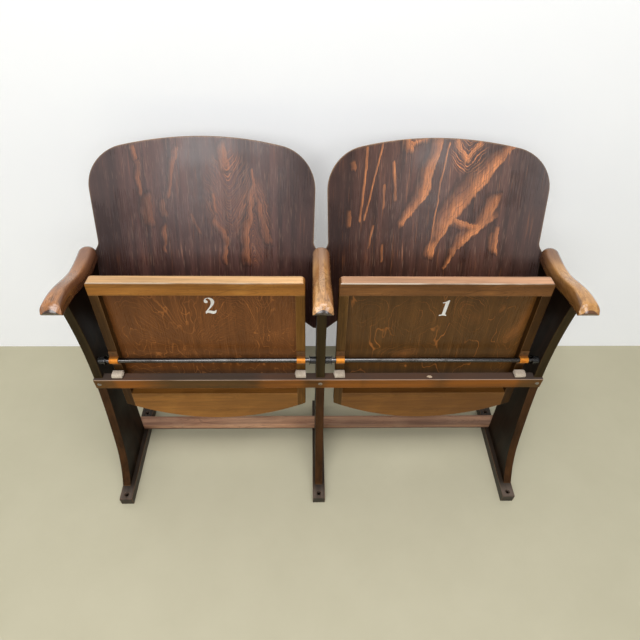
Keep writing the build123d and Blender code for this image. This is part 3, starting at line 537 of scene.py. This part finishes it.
def front_edge_dress(tan_tone, highlight_strength):
    def dress(s, base):
        """The hand-worn front edge of a seat, rubbed to bare wood, and a painted highlight along its lower
        arris.
        """
        up = s.parts(s.place)[Z]
        bare = s.span(up, SEAT_EDGE, SEAT_EDGE + 1.8 * MM)
        worn = s.mix(s.span(s.streaks, 0.30, 0.70), darker(tan_tone, 0.55), tan_tone)
        lines = s.noise(s.scaled(s.place, (0.02, 1.0, 1.0)), 420.0, 3.0, 0.6)
        worn = s.mix(s.span(lines, 0.57, 0.70, 0.0, 0.60), worn, darker(tan_tone, 0.33))
        base = s.mix(bare, base, worn)
        # painted highlight along the lower arris, on the side facing forward
        forward = s.span(s.parts(s.normal)[Y], -0.15, -0.45)
        arris_highlight = s.product(
            s.span(up, SEAT_EDGE - 1.8 * MM, SEAT_EDGE - 0.6 * MM),
            s.span(up, SEAT_EDGE + 2.5 * MM, SEAT_EDGE + 1.2 * MM),
            forward,
        )
        arris_highlight = s.product(arris_highlight, s.span(s.clouds, 0.30, 0.55, 0.2, 1.0), highlight_strength)
        return s.mix(arris_highlight, base, (0.76, 0.66, 0.55))
    return dress


# Stretches along the front rail: middle and half length, in millimetres
ORANGE_STRETCHES = ((-440, 90), (-90, 70), (60, 60), (190, 120), (400, 130))
GREY_STRETCHES = ((-290, 170), (-520, 40), (520, 50))
PALE_SPOT_PLACE, PALE_SPOT_SIZE = (264.0, -23.0, 389.0), (9.0, 5.0, 5.0)


def rail_dress(s, base):
    """Front rail: orange and greyish stretches, a painted highlight along its top edge and a pale spot on
    it.
    """
    across = s.scaled(s.wander(s.place, 9.0, 0.03), (1.0, 0.0, 0.0))

    def along(stretches):
        blobs = [s.blob(across, middle, 0.0, half, 1.0) for middle, half in stretches]
        return s.span(s.highest(blobs), 0.0, 0.5)

    orange = s.product(along(ORANGE_STRETCHES), s.span(s.streaks, 0.25, 0.7, 0.35, 0.85))
    base = s.mix(orange, base, (0.29, 0.093, 0.010))
    grey = s.product(along(GREY_STRETCHES), s.span(s.streaks, 0.75, 0.25, 0.45, 0.9))
    base = s.mix(grey, base, (0.082, 0.042, 0.011))
    upward = s.parts(s.normal)[Z]
    top = s.product(s.span(upward, 0.75, 0.95), s.span(s.streaks, 0.2, 0.7, 0.55, 0.9))
    base = s.mix(top, base, (0.058, 0.048, 0.044))
    height = s.parts(s.place)[Z]
    # painted highlight along the top arris
    arris_highlight = s.product(
        s.span(height, RAIL_TOP - 2.4 * MM, RAIL_TOP - 1.2 * MM), s.span(upward, 0.95, 0.80),
    )
    base = s.mix(s.product(arris_highlight, s.span(s.clouds, 0.3, 0.6, 0.15, 0.65)), base, (0.44, 0.33, 0.25))
    # a pale spot on the top edge
    pale_spot = s.round_off(s.placed(s.wander(s.place, 150.0, 0.008), PALE_SPOT_PLACE, PALE_SPOT_SIZE))
    return s.mix(s.span(pale_spot, 0.20, 0.40), base, (0.55, 0.42, 0.29))


def stretcher_dress(s, base):
    """Painted shade along the stretcher's right half, and a painted shadow along its foot."""
    across, _, height = s.parts(s.place)
    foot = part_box("rear_stretcher")[0][Z]
    # painted shadow along the stretcher's foot
    foot_shadow = s.span(height, foot + 7.0 * MM, foot + 2.0 * MM, 0.0, 0.85)
    base = s.mix(foot_shadow, base, (0.045, 0.022, 0.015))
    # painted shade along the stretcher's right half
    right_half_shade = s.product(s.span(across, -0.10, 0.15), s.span(s.streaks, 0.3, 0.7, 0.66, 0.40))
    return s.mix(right_half_shade, base, (0.15, 0.080, 0.050))


def runner_dress(s, base):
    """Foot runners: scuffed grey on the front ends, reddish at the corners."""
    along = s.parts(s.place)[Y]
    scuffed = s.product(s.span(along, -0.115, -0.150), s.span(s.parts(s.normal)[Z], 0.5, 0.9))
    scuffed = s.product(scuffed, s.span(s.streaks, 0.3, 0.65, 0.3, 0.9))
    base = s.mix(scuffed, base, (0.14, 0.100, 0.076))
    corners = s.product(s.edge, s.span(s.clouds, 0.4, 0.6, 0.1, 0.6))
    return s.mix(corners, base, (0.20, 0.085, 0.040))


NOSE_TOP = 0.6668                   # top of the painted shade on an armrest's arched front
NOSE_ARCH = 34.0                    # how fast the arch falls to its sides, in 1/m


def arm_dress(middle, shaded, nose_mottle_and_shade_tone, rear_tone, side_shade_tone):
    def dress(s, base):
        """Armrests: painted shade on the arched front face, a mottled nose, painted shade on one side and a
        duller rear end.
        """
        along = s.parts(s.wander(s.place, 30.0, 0.03))[Y]
        rear = s.product(s.span(along, 0.065, 0.135), s.span(s.streaks, 0.3, 0.7, 0.65, 0.95))
        base = s.mix(rear, base, rear_tone)
        # painted shade on the side that is turned from the light
        side = s.span(s.parts(s.normal)[X], 0.30 * shaded, 0.80 * shaded)
        base = s.mix(s.product(side, s.span(s.clouds, 0.35, 0.65, 0.70, 0.95)), base, side_shade_tone)
        spots = s.noise(s.scaled(s.place, (1.0, 0.5, 1.0)), 95.0, 3.0, 0.6)
        mottle = s.product(s.span(spots, 0.54, 0.64), s.span(along, -0.020, -0.055), 0.40)
        base = s.mix(mottle, base, nose_mottle_and_shade_tone)
        across, depth, height = s.parts(s.wander(s.place, 120.0, 0.002))
        off = s.math("SUBTRACT", across, middle)
        arch = s.math("ADD", height, s.product(off, off, NOSE_ARCH))
        # painted shade on the nose's arched front face
        front = s.product(
            s.span(arch, NOSE_TOP + 0.8 * MM, NOSE_TOP - 1.0 * MM), s.span(depth, -0.052, -0.060),
        )
        return s.mix(s.product(front, s.span(s.streaks, 0.25, 0.65, 0.85, 0.98)), base, nose_mottle_and_shade_tone)
    return dress


def seat_at(seat):
    return (SEAT_MIDS[seat], PIVOT_Y, PIVOT_Z)


def back_at(seat):
    return (SEAT_MIDS[seat], BACK_Y, BACK_Z)


# Woods, with their dark, middle and light tones

panel_wood = wood(
    "panel_wood", Z, ((0.008, 0.005, 0.003), (0.018, 0.010, 0.006), (0.050, 0.025, 0.012)),
    figure=0.25, wear=0.25, specular=0.05, dress=panel_dress,
)
runner_wood = wood(
    "runner_wood", Y, ((0.014, 0.010, 0.007), (0.036, 0.024, 0.015), (0.09, 0.055, 0.030)),
    figure=0.2, wear=0.3, specular=0.25, dress=runner_dress,
)
# Armrests: tones, then those of the nose's mottle and painted shade, the rear end and the side in painted
# shade
ARM_TONES = {
    "left": (
        ((0.215, 0.082, 0.027), (0.50, 0.205, 0.066), (0.68, 0.36, 0.16)),
        (0.016, 0.008, 0.005), (0.20, 0.088, 0.050), (0.085, 0.030, 0.012),
    ),
    "middle": (
        ((0.360, 0.158, 0.050), (0.76, 0.395, 0.145), (0.90, 0.56, 0.27)),
        (0.018, 0.009, 0.007), (0.25, 0.140, 0.085), (0.24, 0.090, 0.028),
    ),
    "right": (
        ((0.400, 0.170, 0.040), (0.78, 0.410, 0.125), (0.90, 0.57, 0.24)),
        (0.105, 0.036, 0.012), (0.14, 0.062, 0.036), (0.060, 0.023, 0.007),
    ),
}
ARM_SHADED = {"left": 1, "middle": 1, "right": -1}      # which side has painted shade, along X
for arm, (tones, nose_mottle_and_shade_tone, rear_tone, side_shade_tone) in ARM_TONES.items():
    away = SEAT_MIDS.get(arm, 0.05)     # moves the noise, so that no two armrests are alike
    arm_wood = wood(
        f"{arm}_arm_wood", Y, tones, origin=(away, 0.0, 0.0), figure=0.4, wear=0.0, gloss=0.17,
        specular=0.55, soft=4.0 * MM, veins=0.50, coat=0.6,
        dress=arm_dress(ARM_MIDS[arm] - away, ARM_SHADED[arm], nose_mottle_and_shade_tone, rear_tone, side_shade_tone),
    )
    assign(arm_wood, f"{arm}_armrest")
rail_wood = wood(
    "rail_wood", X, ((0.070, 0.028, 0.005), (0.19, 0.070, 0.011), (0.28, 0.108, 0.019)),
    figure=0.3, wear=0.30, specular=0.15, veins=0.5, dress=rail_dress,
)
stretcher_wood = wood(
    "stretcher_wood", X, ((0.24, 0.105, 0.060), (0.74, 0.405, 0.235), (0.80, 0.52, 0.33)),
    figure=0.3, wear=0.6, veins=0.35, dress=stretcher_dress,
)
left_back_wood = wood(
    "left_back_wood", Z, ((0.044, 0.020, 0.017), (0.122, 0.052, 0.041), (0.42, 0.150, 0.062)),
    origin=back_at("left"), tilt=BACK_RECLINE, figure=0.0, wear=0.85, wear_tone=BACK_RIM,
    wear_width=6.0 * MM, gloss=0.28, specular=0.47,
    drawn=flames(LEFT_BACK_FLAMES, 0.72, LEFT_BACK_ARCHES), dress=ply_edges((0.34, 0.20, 0.10)),
)
right_back_wood = wood(
    "right_back_wood", Z, ((0.046, 0.020, 0.014), (0.128, 0.053, 0.036), (0.84, 0.305, 0.105)),
    origin=back_at("right"), tilt=BACK_RECLINE, figure=0.0, wear=0.85, wear_tone=BACK_RIM,
    wear_width=6.0 * MM, gloss=0.28, specular=0.47,
    drawn=flames(RIGHT_BACK_FLAMES, 0.92, RIGHT_BACK_ARCHES), dress=ply_edges((0.36, 0.21, 0.10)),
)
seat_board_woods = {
    "left": wood(
        "left_board_wood", Z, ((0.122, 0.042, 0.010), (0.178, 0.062, 0.015), (0.46, 0.165, 0.040)),
        origin=seat_at("left"), tilt=SEAT_LEAN, figure=0.0, wear=0.1, gloss=0.34, specular=0.24,
        drawn=contour_lines(LEFT_BOARD_HILLS, LEFT_BOARD_FANS, 12.0, 0.090, 0.66),
    ),
    "right": wood(
        "right_board_wood", Z, ((0.084, 0.037, 0.009), (0.130, 0.056, 0.013), (0.46, 0.160, 0.036)),
        origin=seat_at("right"), tilt=SEAT_LEAN, figure=0.0, wear=0.1, gloss=0.34, specular=0.24,
        drawn=contour_lines(RIGHT_BOARD_HILLS, [], 6.0, 0.050, 0.70),
    ),
}
SIDE_RAIL_TONES = {
    ("left", "left"): ((0.040, 0.017, 0.004), (0.082, 0.036, 0.008), (0.14, 0.068, 0.017)),
    ("left", "right"): ((0.085, 0.036, 0.006), (0.170, 0.074, 0.012), (0.26, 0.120, 0.025)),
    ("right", "left"): ((0.072, 0.034, 0.008), (0.140, 0.066, 0.015), (0.22, 0.105, 0.027)),
    ("right", "right"): ((0.022, 0.008, 0.001), (0.044, 0.017, 0.002), (0.095, 0.042, 0.008)),
}
for (seat, side), tones in SIDE_RAIL_TONES.items():
    side_rail_wood = wood(
        f"{seat}_{side}_rail_wood", Z, tones, origin=seat_at(seat), tilt=SEAT_LEAN,
        figure=0.3, wear=0.35, specular=0.14, veins=0.35,
    )
    assign(side_rail_wood, f"{seat}_seat_{side}_rail")
front_edge_woods = {
    "left": wood(
        "left_front_edge_wood", X, ((0.21, 0.080, 0.011), (0.41, 0.165, 0.028), (0.56, 0.26, 0.052)),
        origin=seat_at("left"), tilt=SEAT_LEAN, figure=0.3, wear=0.3, specular=0.28, veins=0.35,
        dress=front_edge_dress((0.86, 0.51, 0.240), 0.60),
    ),
    "right": wood(
        "right_front_edge_wood", X, ((0.112, 0.044, 0.011), (0.22, 0.090, 0.024), (0.38, 0.155, 0.038)),
        origin=seat_at("right"), tilt=SEAT_LEAN, figure=0.3, wear=0.3, specular=0.28, veins=0.45,
        dress=front_edge_dress((0.68, 0.37, 0.210), 0.90),
    ),
}
rear_rail_woods = {
    "left": wood(
        "left_rear_rail_wood", X, ((0.205, 0.082, 0.014), (0.34, 0.142, 0.027), (0.44, 0.205, 0.042)),
        origin=seat_at("left"), tilt=SEAT_LEAN, figure=0.2, wear=0.5, specular=0.24, veins=0.30,
    ),
    "right": wood(
        "right_rear_rail_wood", X, ((0.142, 0.055, 0.010), (0.225, 0.092, 0.017), (0.32, 0.14, 0.028)),
        origin=seat_at("right"), tilt=SEAT_LEAN, figure=0.2, wear=0.5, specular=0.24, veins=0.30,
    ),
}


def metal(name, colour, roughness, tarnish, metallic=1.0, spot=90.0, origin=(0.0, 0.0, 0.0),
          tilt=0.0, dress=None):
    """Metal with rubbed lines, spots and some tarnish."""
    s = Surface(name, origin, tilt)
    spots = s.noise(s.place, spot, 4.0, 0.6)
    lines = s.noise(s.scaled(s.place, (30.0, 900.0, 900.0)), 1.0, 2.0)
    tone = s.mix(s.span(spots, 0.45, 0.70), colour, tarnish)
    if dress:
        tone = dress(s, tone, spots)
    dulled = s.span(spots, 0.35, 0.7, roughness, roughness + 0.15)
    rough = s.math("ADD", dulled, s.span(lines, 0.3, 0.7, -0.03, 0.03))
    s.bump(lines, 0.03, 0.2 * MM)
    return s.finish(tone, rough, Metallic=metallic)


def strap_dress(s, tone, spots):
    """Bright over the rod, dull brown along the flanges."""
    along = s.math("ABSOLUTE", s.parts(s.place)[Z])
    dull = s.span(along, 7.0 * MM, 8.8 * MM, 0.0, 0.94)
    return s.mix(dull, tone, s.mix(spots, (0.075, 0.040, 0.018), (0.14, 0.070, 0.028)))


steel = metal("bright_steel", (0.105, 0.100, 0.097), 0.13, (0.060, 0.052, 0.046), spot=16.0)
screw_steel = metal("screw_steel", (0.36, 0.35, 0.34), 0.38, (0.13, 0.10, 0.08))
brass = metal(
    "strap_brass", (0.68, 0.235, 0.014), 0.42, (0.50, 0.135, 0.006), metallic=0.45,
    origin=(0.0, PIVOT_Y, PIVOT_Z), tilt=SEAT_LEAN, dress=strap_dress,
)
strap_steel = metal("strap_screw_steel", (0.13, 0.085, 0.045), 0.45, (0.06, 0.035, 0.018))
enamel = metal("black_collar", (0.010, 0.010, 0.010), 0.18, (0.028, 0.026, 0.024), metallic=0.0)
beech = wood(
    "dowel_beech", Z, ((0.40, 0.28, 0.16), (0.52, 0.38, 0.24), (0.60, 0.46, 0.30)), figure=0.2,
)

for post in ARM_MIDS:
    assign(panel_wood, f"{post}_side_panel")
    assign(runner_wood, f"{post}_foot_runner")
assign(rail_wood, "front_rail")
assign(stretcher_wood, "rear_stretcher")
assign(left_back_wood, "left_back")
assign(right_back_wood, "right_back")
assign(steel, "pivot_rod", "pivot_washers")
assign(enamel, "pivot_collars")
assign(beech, "armrest_dowels")
assign(screw_steel, "rail_screws", "stretcher_screws", "foot_screws", "back_screws")
for seat in SEAT_MIDS:
    assign(front_edge_woods[seat], f"{seat}_seat_front_rail")
    assign(rear_rail_woods[seat], f"{seat}_seat_rear_rail")
    assign(seat_board_woods[seat], f"{seat}_seat_board")
    assign(brass, f"{seat}_seat_straps")
    assign(strap_steel, f"{seat}_seat_strap_screws")


# Felt stop pads: strips of felt rolled up and pressed onto the front rail

FELT_THICKNESS = 2.9 * MM
FELT_PITCH = 3.2 * MM               # from one turn of the roll to the next
FELT_TURNS = 2.15
FELT_END = -0.7 * math.pi           # where the strip's outer end lies around the roll
FELT_HALF_DEPTH = 11.1 * MM
FELT_HALF_HEIGHT = 7.7 * MM
FELT_HALF_WIDTH = 12.6 * MM
FELT_SQUARENESS = 2.0 / 2.9         # power that presses the round turns towards a rectangle
FELT_LUMPS = 0.45 * MM              # how deep the lumps in the felt are
LUMPS_ALONG, LUMPS_AROUND = 60, 2.2 # how close they are along the bench and around the roll
FELT_RAGGED = 0.5 * MM              # how ragged the strip's sides are
FELT_SEED = 3.7                     # from one pad's noise to the next one's
PAD_FRONT, PAD_FOOT = 0.3 * MM, 0.15 * MM   # from the pad's space and from the rail to the roll
FELT_STEPS, FELT_SLICES = 88, 9     # along the strip and across it
FELT_SLIP = 2.6 * MM                # how far the inmost turn has slipped out sideways
PAD_SLIPS = {
    ("left", "left"): 1.0, ("left", "right"): -1.0,
    ("right", "left"): -1.0, ("right", "right"): -1.0,
}


def felt_material():
    s = Surface("felt")
    wool = s.noise(s.place, 900.0, 4.0, 0.65)
    lint = s.noise(s.scaled(s.place, (1.0, 2.2, 2.2)), 260.0, 3.0, 0.6)
    soil = s.noise(s.place, 60.0, 3.0, 0.55)
    tone = s.mix(s.span(wool, 0.30, 0.70), (0.44, 0.36, 0.27), (0.70, 0.61, 0.50))
    tone = s.mix(s.span(soil, 0.62, 0.38, 0.0, 0.40), tone, (0.26, 0.20, 0.14))
    s.bump(s.math("ADD", s.math("MULTIPLY", wool, 0.5), lint), 0.55, 0.8 * MM)
    rough = s.span(lint, 0.3, 0.7, 0.88, 0.98)
    return s.finish(tone, rough, Sheen_Weight=0.25, Specular_IOR_Level=0.15)


def pressed(size, part):
    """A point of a circle, from its cosine or sine, on a turn pressed towards a rectangle."""
    return size * math.copysign(abs(part) ** FELT_SQUARENESS, part)


def felt_pad(name, centre, slip, seed):
    """A rolled strip: outer and inner skins swept along the bench, closed at its four edges."""
    steps, slices = FELT_STEPS, FELT_SLICES
    mesh = bpy.data.meshes.new(name)
    work = bmesh.new()

    def skin(inset):
        rows = []
        for i in range(steps + 1):
            share = i / steps
            turned = 2 * math.pi * FELT_TURNS * (share - 1.0) + FELT_END
            off = FELT_PITCH * FELT_TURNS * (1.0 - share) + inset
            cosine, sine = math.cos(turned), math.sin(turned)
            row = []
            for j in range(slices):
                x = FELT_HALF_WIDTH * (2 * j / (slices - 1) - 1) + slip * FELT_SLIP * (1.0 - share)
                lump = noise.noise(Vector((
                    LUMPS_ALONG * x + seed, LUMPS_AROUND * cosine, LUMPS_AROUND * sine,
                )))
                inward = off + FELT_LUMPS * (0.5 + 0.5 * lump)
                y = pressed(FELT_HALF_DEPTH - inward, cosine)
                z = pressed(FELT_HALF_HEIGHT - inward, sine)
                ragged = FELT_RAGGED * noise.noise(Vector((seed, 9.0 * share, 7.0 * j)))
                row.append(work.verts.new(Vector(centre) + Vector((x + ragged, y, z))))
            rows.append(row)
        return rows

    outer, inner = skin(0.0), skin(FELT_THICKNESS)
    for i in range(steps):
        for j in range(slices - 1):
            work.faces.new((outer[i][j], outer[i][j + 1], outer[i + 1][j + 1], outer[i + 1][j]))
            work.faces.new((inner[i][j], inner[i + 1][j], inner[i + 1][j + 1], inner[i][j + 1]))
        for j in (0, slices - 1):
            work.faces.new((outer[i][j], outer[i + 1][j], inner[i + 1][j], inner[i][j]))
    for i in (0, steps):
        for j in range(slices - 1):
            work.faces.new((outer[i][j], outer[i][j + 1], inner[i][j + 1], inner[i][j]))
    bmesh.ops.recalc_face_normals(work, faces=work.faces)
    for face in work.faces:
        face.smooth = True
    work.to_mesh(mesh)
    work.free()
    pad = link(bpy.data.objects.new(name, mesh))
    soften = pad.modifiers.new("soften", "SUBSURF")
    soften.levels = soften.render_levels = 1
    mesh.materials.append(felt)
    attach(pad, "frame")
    return pad


felt = felt_material()
for number, ((seat, side), slip) in enumerate(PAD_SLIPS.items()):
    low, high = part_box(f"{seat}_seat_{side}_felt_pad")
    centre = (
        (low[X] + high[X]) / 2,
        low[Y] + FELT_HALF_DEPTH + PAD_FRONT,
        RAIL_TOP + FELT_HALF_HEIGHT + PAD_FOOT,
    )
    pad = felt_pad(f"{seat}_seat_{side}_felt_roll", centre, slip, FELT_SEED * number)
    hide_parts(f"{seat}_seat_{side}_felt_pad")


# Seat numbers, stencilled in white paint on the undersides of the seat boards, in millimetres

PAINT = 0.12 * MM
TWO_SIZE, TWO_PLACE = (26.0, 46.0), (19.5, 147.0)
ONE_SIZE, ONE_PLACE = (18.0, 46.6), (9.0, 140.8)
TWO_BOW = [
    (10.5, 45.8), (15.5, 45.6), (20.8, 42.3), (23.6, 36.5), (22.6, 29.5), (18.6, 22.8), (12.8, 15.6),
    (8.0, 10.4), (4.4, 9.8), (8.6, 15.4), (13.0, 22.4), (15.4, 29.4), (15.8, 36.4), (14.0, 41.6),
    (10.5, 43.6),
]
TWO_HOOK = [
    (9.0, 45.4), (5.0, 43.6), (2.0, 39.6), (1.2, 35.0), (3.2, 31.4), (7.0, 31.0), (9.6, 33.8),
    (8.8, 37.2), (6.4, 38.8), (5.6, 40.6), (6.8, 42.6), (9.0, 43.6),
]
TWO_FOOT = [
    (2.6, 7.8), (1.4, 3.2), (2.2, 0.2), (4.6, 2.4), (8.2, 2.8), (12.6, 1.2), (17.0, 0.0), (21.6, 0.8),
    (24.8, 4.6), (26.0, 10.6), (23.8, 9.6), (21.4, 8.2), (17.6, 8.2), (12.6, 9.4), (7.4, 9.6),
]
ONE = [
    (0.0, 0.0), (4.4, 1.4), (8.6, 1.7), (12.8, 1.4), (17.0, 0.0), (16.6, 3.4), (13.6, 4.8),
    (17.8, 45.6), (16.2, 46.6), (12.4, 43.6), (8.4, 41.2), (3.2, 39.6), (3.0, 37.4), (9.4, 38.2),
    (6.2, 5.0), (0.6, 3.6),
]


def rounded(outline, cuts=5):
    """A closed outline drawn smoothly through its points."""
    count = len(outline)
    points = []
    for i in range(count):
        a, b, c, d = (Vector(outline[(i + k) % count]) for k in (-1, 0, 1, 2))
        for cut in range(cuts):
            t = cut / cuts
            square = (2 * a - 5 * b + 4 * c - d) * t ** 2
            cube = (3 * b - a - 3 * c + d) * t ** 3
            points.append(0.5 * (2 * b + (c - a) * t + square + cube))
    return points


def paint_material():
    s = Surface("number_paint")
    worn = s.noise(s.place, 420.0, 3.0, 0.6)
    grain = s.noise(s.scaled(s.place, (1.0, 1.0, 0.06)), 700.0, 2.0)
    tone = s.mix(s.span(grain, 0.3, 0.7), (0.70, 0.68, 0.63), (0.80, 0.79, 0.75))
    tone = s.mix(s.span(worn, 0.66, 0.74, 0.0, 0.85), tone, (0.16, 0.08, 0.035))
    s.bump(worn, 0.3, 0.2 * MM)
    return s.finish(tone, s.span(grain, 0.3, 0.7, 0.50, 0.62))


def seat_number(seat, outlines, place, size):
    """Painted figures lying on a seat board, standing up the seat as it is folded."""
    name = f"{seat}_seat_number"
    across, up = place
    mesh = bpy.data.meshes.new(name)
    work = bmesh.new()
    slope = Vector((0.0, math.sin(SEAT_LEAN), math.cos(SEAT_LEAN)))
    behind = Vector((0.0, math.cos(SEAT_LEAN), -math.sin(SEAT_LEAN)))
    for outline in outlines:
        rings = []
        for depth in (BOARD_DEPTH - PAINT, BOARD_DEPTH - 0.1 * PAINT):
            ring = []
            for x, y in outline:
                rise = (up + (y - size[1] / 2)) * MM
                point = Vector(seat_at(seat)) + behind * depth + slope * rise
                point.x += (across + x - size[0] / 2) * MM
                ring.append(work.verts.new(point))
            rings.append(ring)
            work.faces.new(ring)
        for i in range(len(outline)):
            j = (i + 1) % len(outline)
            work.faces.new((rings[0][i], rings[0][j], rings[1][j], rings[1][i]))
    bmesh.ops.recalc_face_normals(work, faces=work.faces)
    bmesh.ops.triangulate(work, faces=[face for face in work.faces if len(face.verts) > 4])
    work.to_mesh(mesh)
    work.free()
    piece = link(bpy.data.objects.new(name, mesh))
    mesh.materials.append(paint)
    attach(piece, f"{seat}_seat")


paint = paint_material()
two = [rounded(part) for part in (TWO_BOW, TWO_HOOK, TWO_FOOT)]
seat_number("left", two, TWO_PLACE, TWO_SIZE)
seat_number("right", [ONE], ONE_PLACE, ONE_SIZE)


# Floor, backdrop and light

WALL_Y, WALL_TOP = 0.41, 5
HALF_ROOM = 6                       # half the width of the floor and the wall
WALL_GLOW = 0.22                    # what the wall shows beyond its lit colour
SKY_LIGHT, SKY_SEEN = 0.24, 0.50    # strength of the world as light and as a backdrop
COOL_WHITE = (0.97, 0.98, 1.0)
# Area lights: place, what they point at, width and length, power
LIGHTS = {
    "ceiling": ((0.1, -0.55, 2.9), (0.0, 0.0, 0.4), (1.7, 1.0), 32.0),
    "lamp": ((0.0, -1.9, 2.85), (0.0, 0.0, 0.6), (0.8, 0.8), 11.0),
    "front": ((-1.1, -3.1, 2.62), (0.0, 0.1, 0.6), (1.7, 1.5), 49.0),
    "fill": ((1.1, -3.0, 2.2), (0.0, 0.0, 0.6), (0.7, 1.0), 12.0),
    "left_window": ((-2.6, -0.9, 1.7), (0.0, 0.0, 0.5), (1.4, 1.4), 5.0),
}


def plane(name, corners, material):
    mesh = bpy.data.meshes.new(name)
    mesh.from_pydata(corners, [], [(0, 1, 2, 3)])
    mesh.materials.append(material)
    link(bpy.data.objects.new(name, mesh))


def make_floor():
    s = Surface("floor")
    mottle = s.noise(s.place, 6.0, 5.0, 0.6)
    material = s.finish(s.mix(mottle, (0.50, 0.465, 0.325), (0.58, 0.540, 0.390)), 0.7)
    h = HALF_ROOM
    plane("floor", [(-h, -h, 0), (h, -h, 0), (h, h, 0), (-h, h, 0)], material)


def make_wall():
    """A plain pale wall behind the bench, which is not there for whatever looks from behind it."""
    s = Surface("wall")
    mottle = s.noise(s.place, 3.0, 4.0, 0.6)
    material = s.finish(s.mix(mottle, (0.76, 0.77, 0.78), (0.81, 0.82, 0.82)), 0.8)
    path = s.add("ShaderNodeLightPath")
    seen = s.total([path.outputs[kind] for kind in SEEN_BY])
    s.feed(s.shader.inputs["Emission Color"], COOL_WHITE)
    s.feed(s.shader.inputs["Emission Strength"], s.math("MULTIPLY", seen, WALL_GLOW))
    clear = s.add("ShaderNodeBsdfTransparent")
    sided = s.add("ShaderNodeMixShader")
    s.feed(sided.inputs[0], s.add("ShaderNodeNewGeometry").outputs["Backfacing"])
    s.feed(sided.inputs[1], s.shader.outputs[0])
    s.feed(sided.inputs[2], clear.outputs[0])
    s.feed(s.tree.nodes["Material Output"].inputs["Surface"], sided.outputs[0])
    h, y, top = HALF_ROOM, WALL_Y, WALL_TOP
    plane("wall", [(-h, y, 0), (h, y, 0), (h, y, top), (-h, y, top)], material)


def area_light(name, place, target, size, power):
    data = bpy.data.lights.new(name, "AREA")
    data.shape = "RECTANGLE"
    data.size, data.size_y = size
    data.energy = power
    lamp = link(bpy.data.objects.new(name, data))
    lamp.location = place
    aim = Vector(target) - Vector(place)
    lamp.rotation_euler = aim.to_track_quat("-Z", "Y").to_euler()


def make_world():
    """Even soft light, which looks paler than it lights."""
    world = bpy.data.worlds.new("world")
    scene.world = world
    world.use_nodes = True
    n = Nodes(world.node_tree)
    sky = n.tree.nodes["Background"]
    path = n.add("ShaderNodeLightPath")
    seen = n.total([path.outputs[kind] for kind in SEEN_BY])
    paler = n.math("MULTIPLY", seen, SKY_SEEN - SKY_LIGHT)
    n.feed(sky.inputs["Color"], COOL_WHITE)
    n.feed(sky.inputs["Strength"], n.math("ADD", paler, SKY_LIGHT))


make_floor()
make_wall()
for name, (place, target, size, power) in LIGHTS.items():
    area_light(name, place, target, size, power)
make_world()
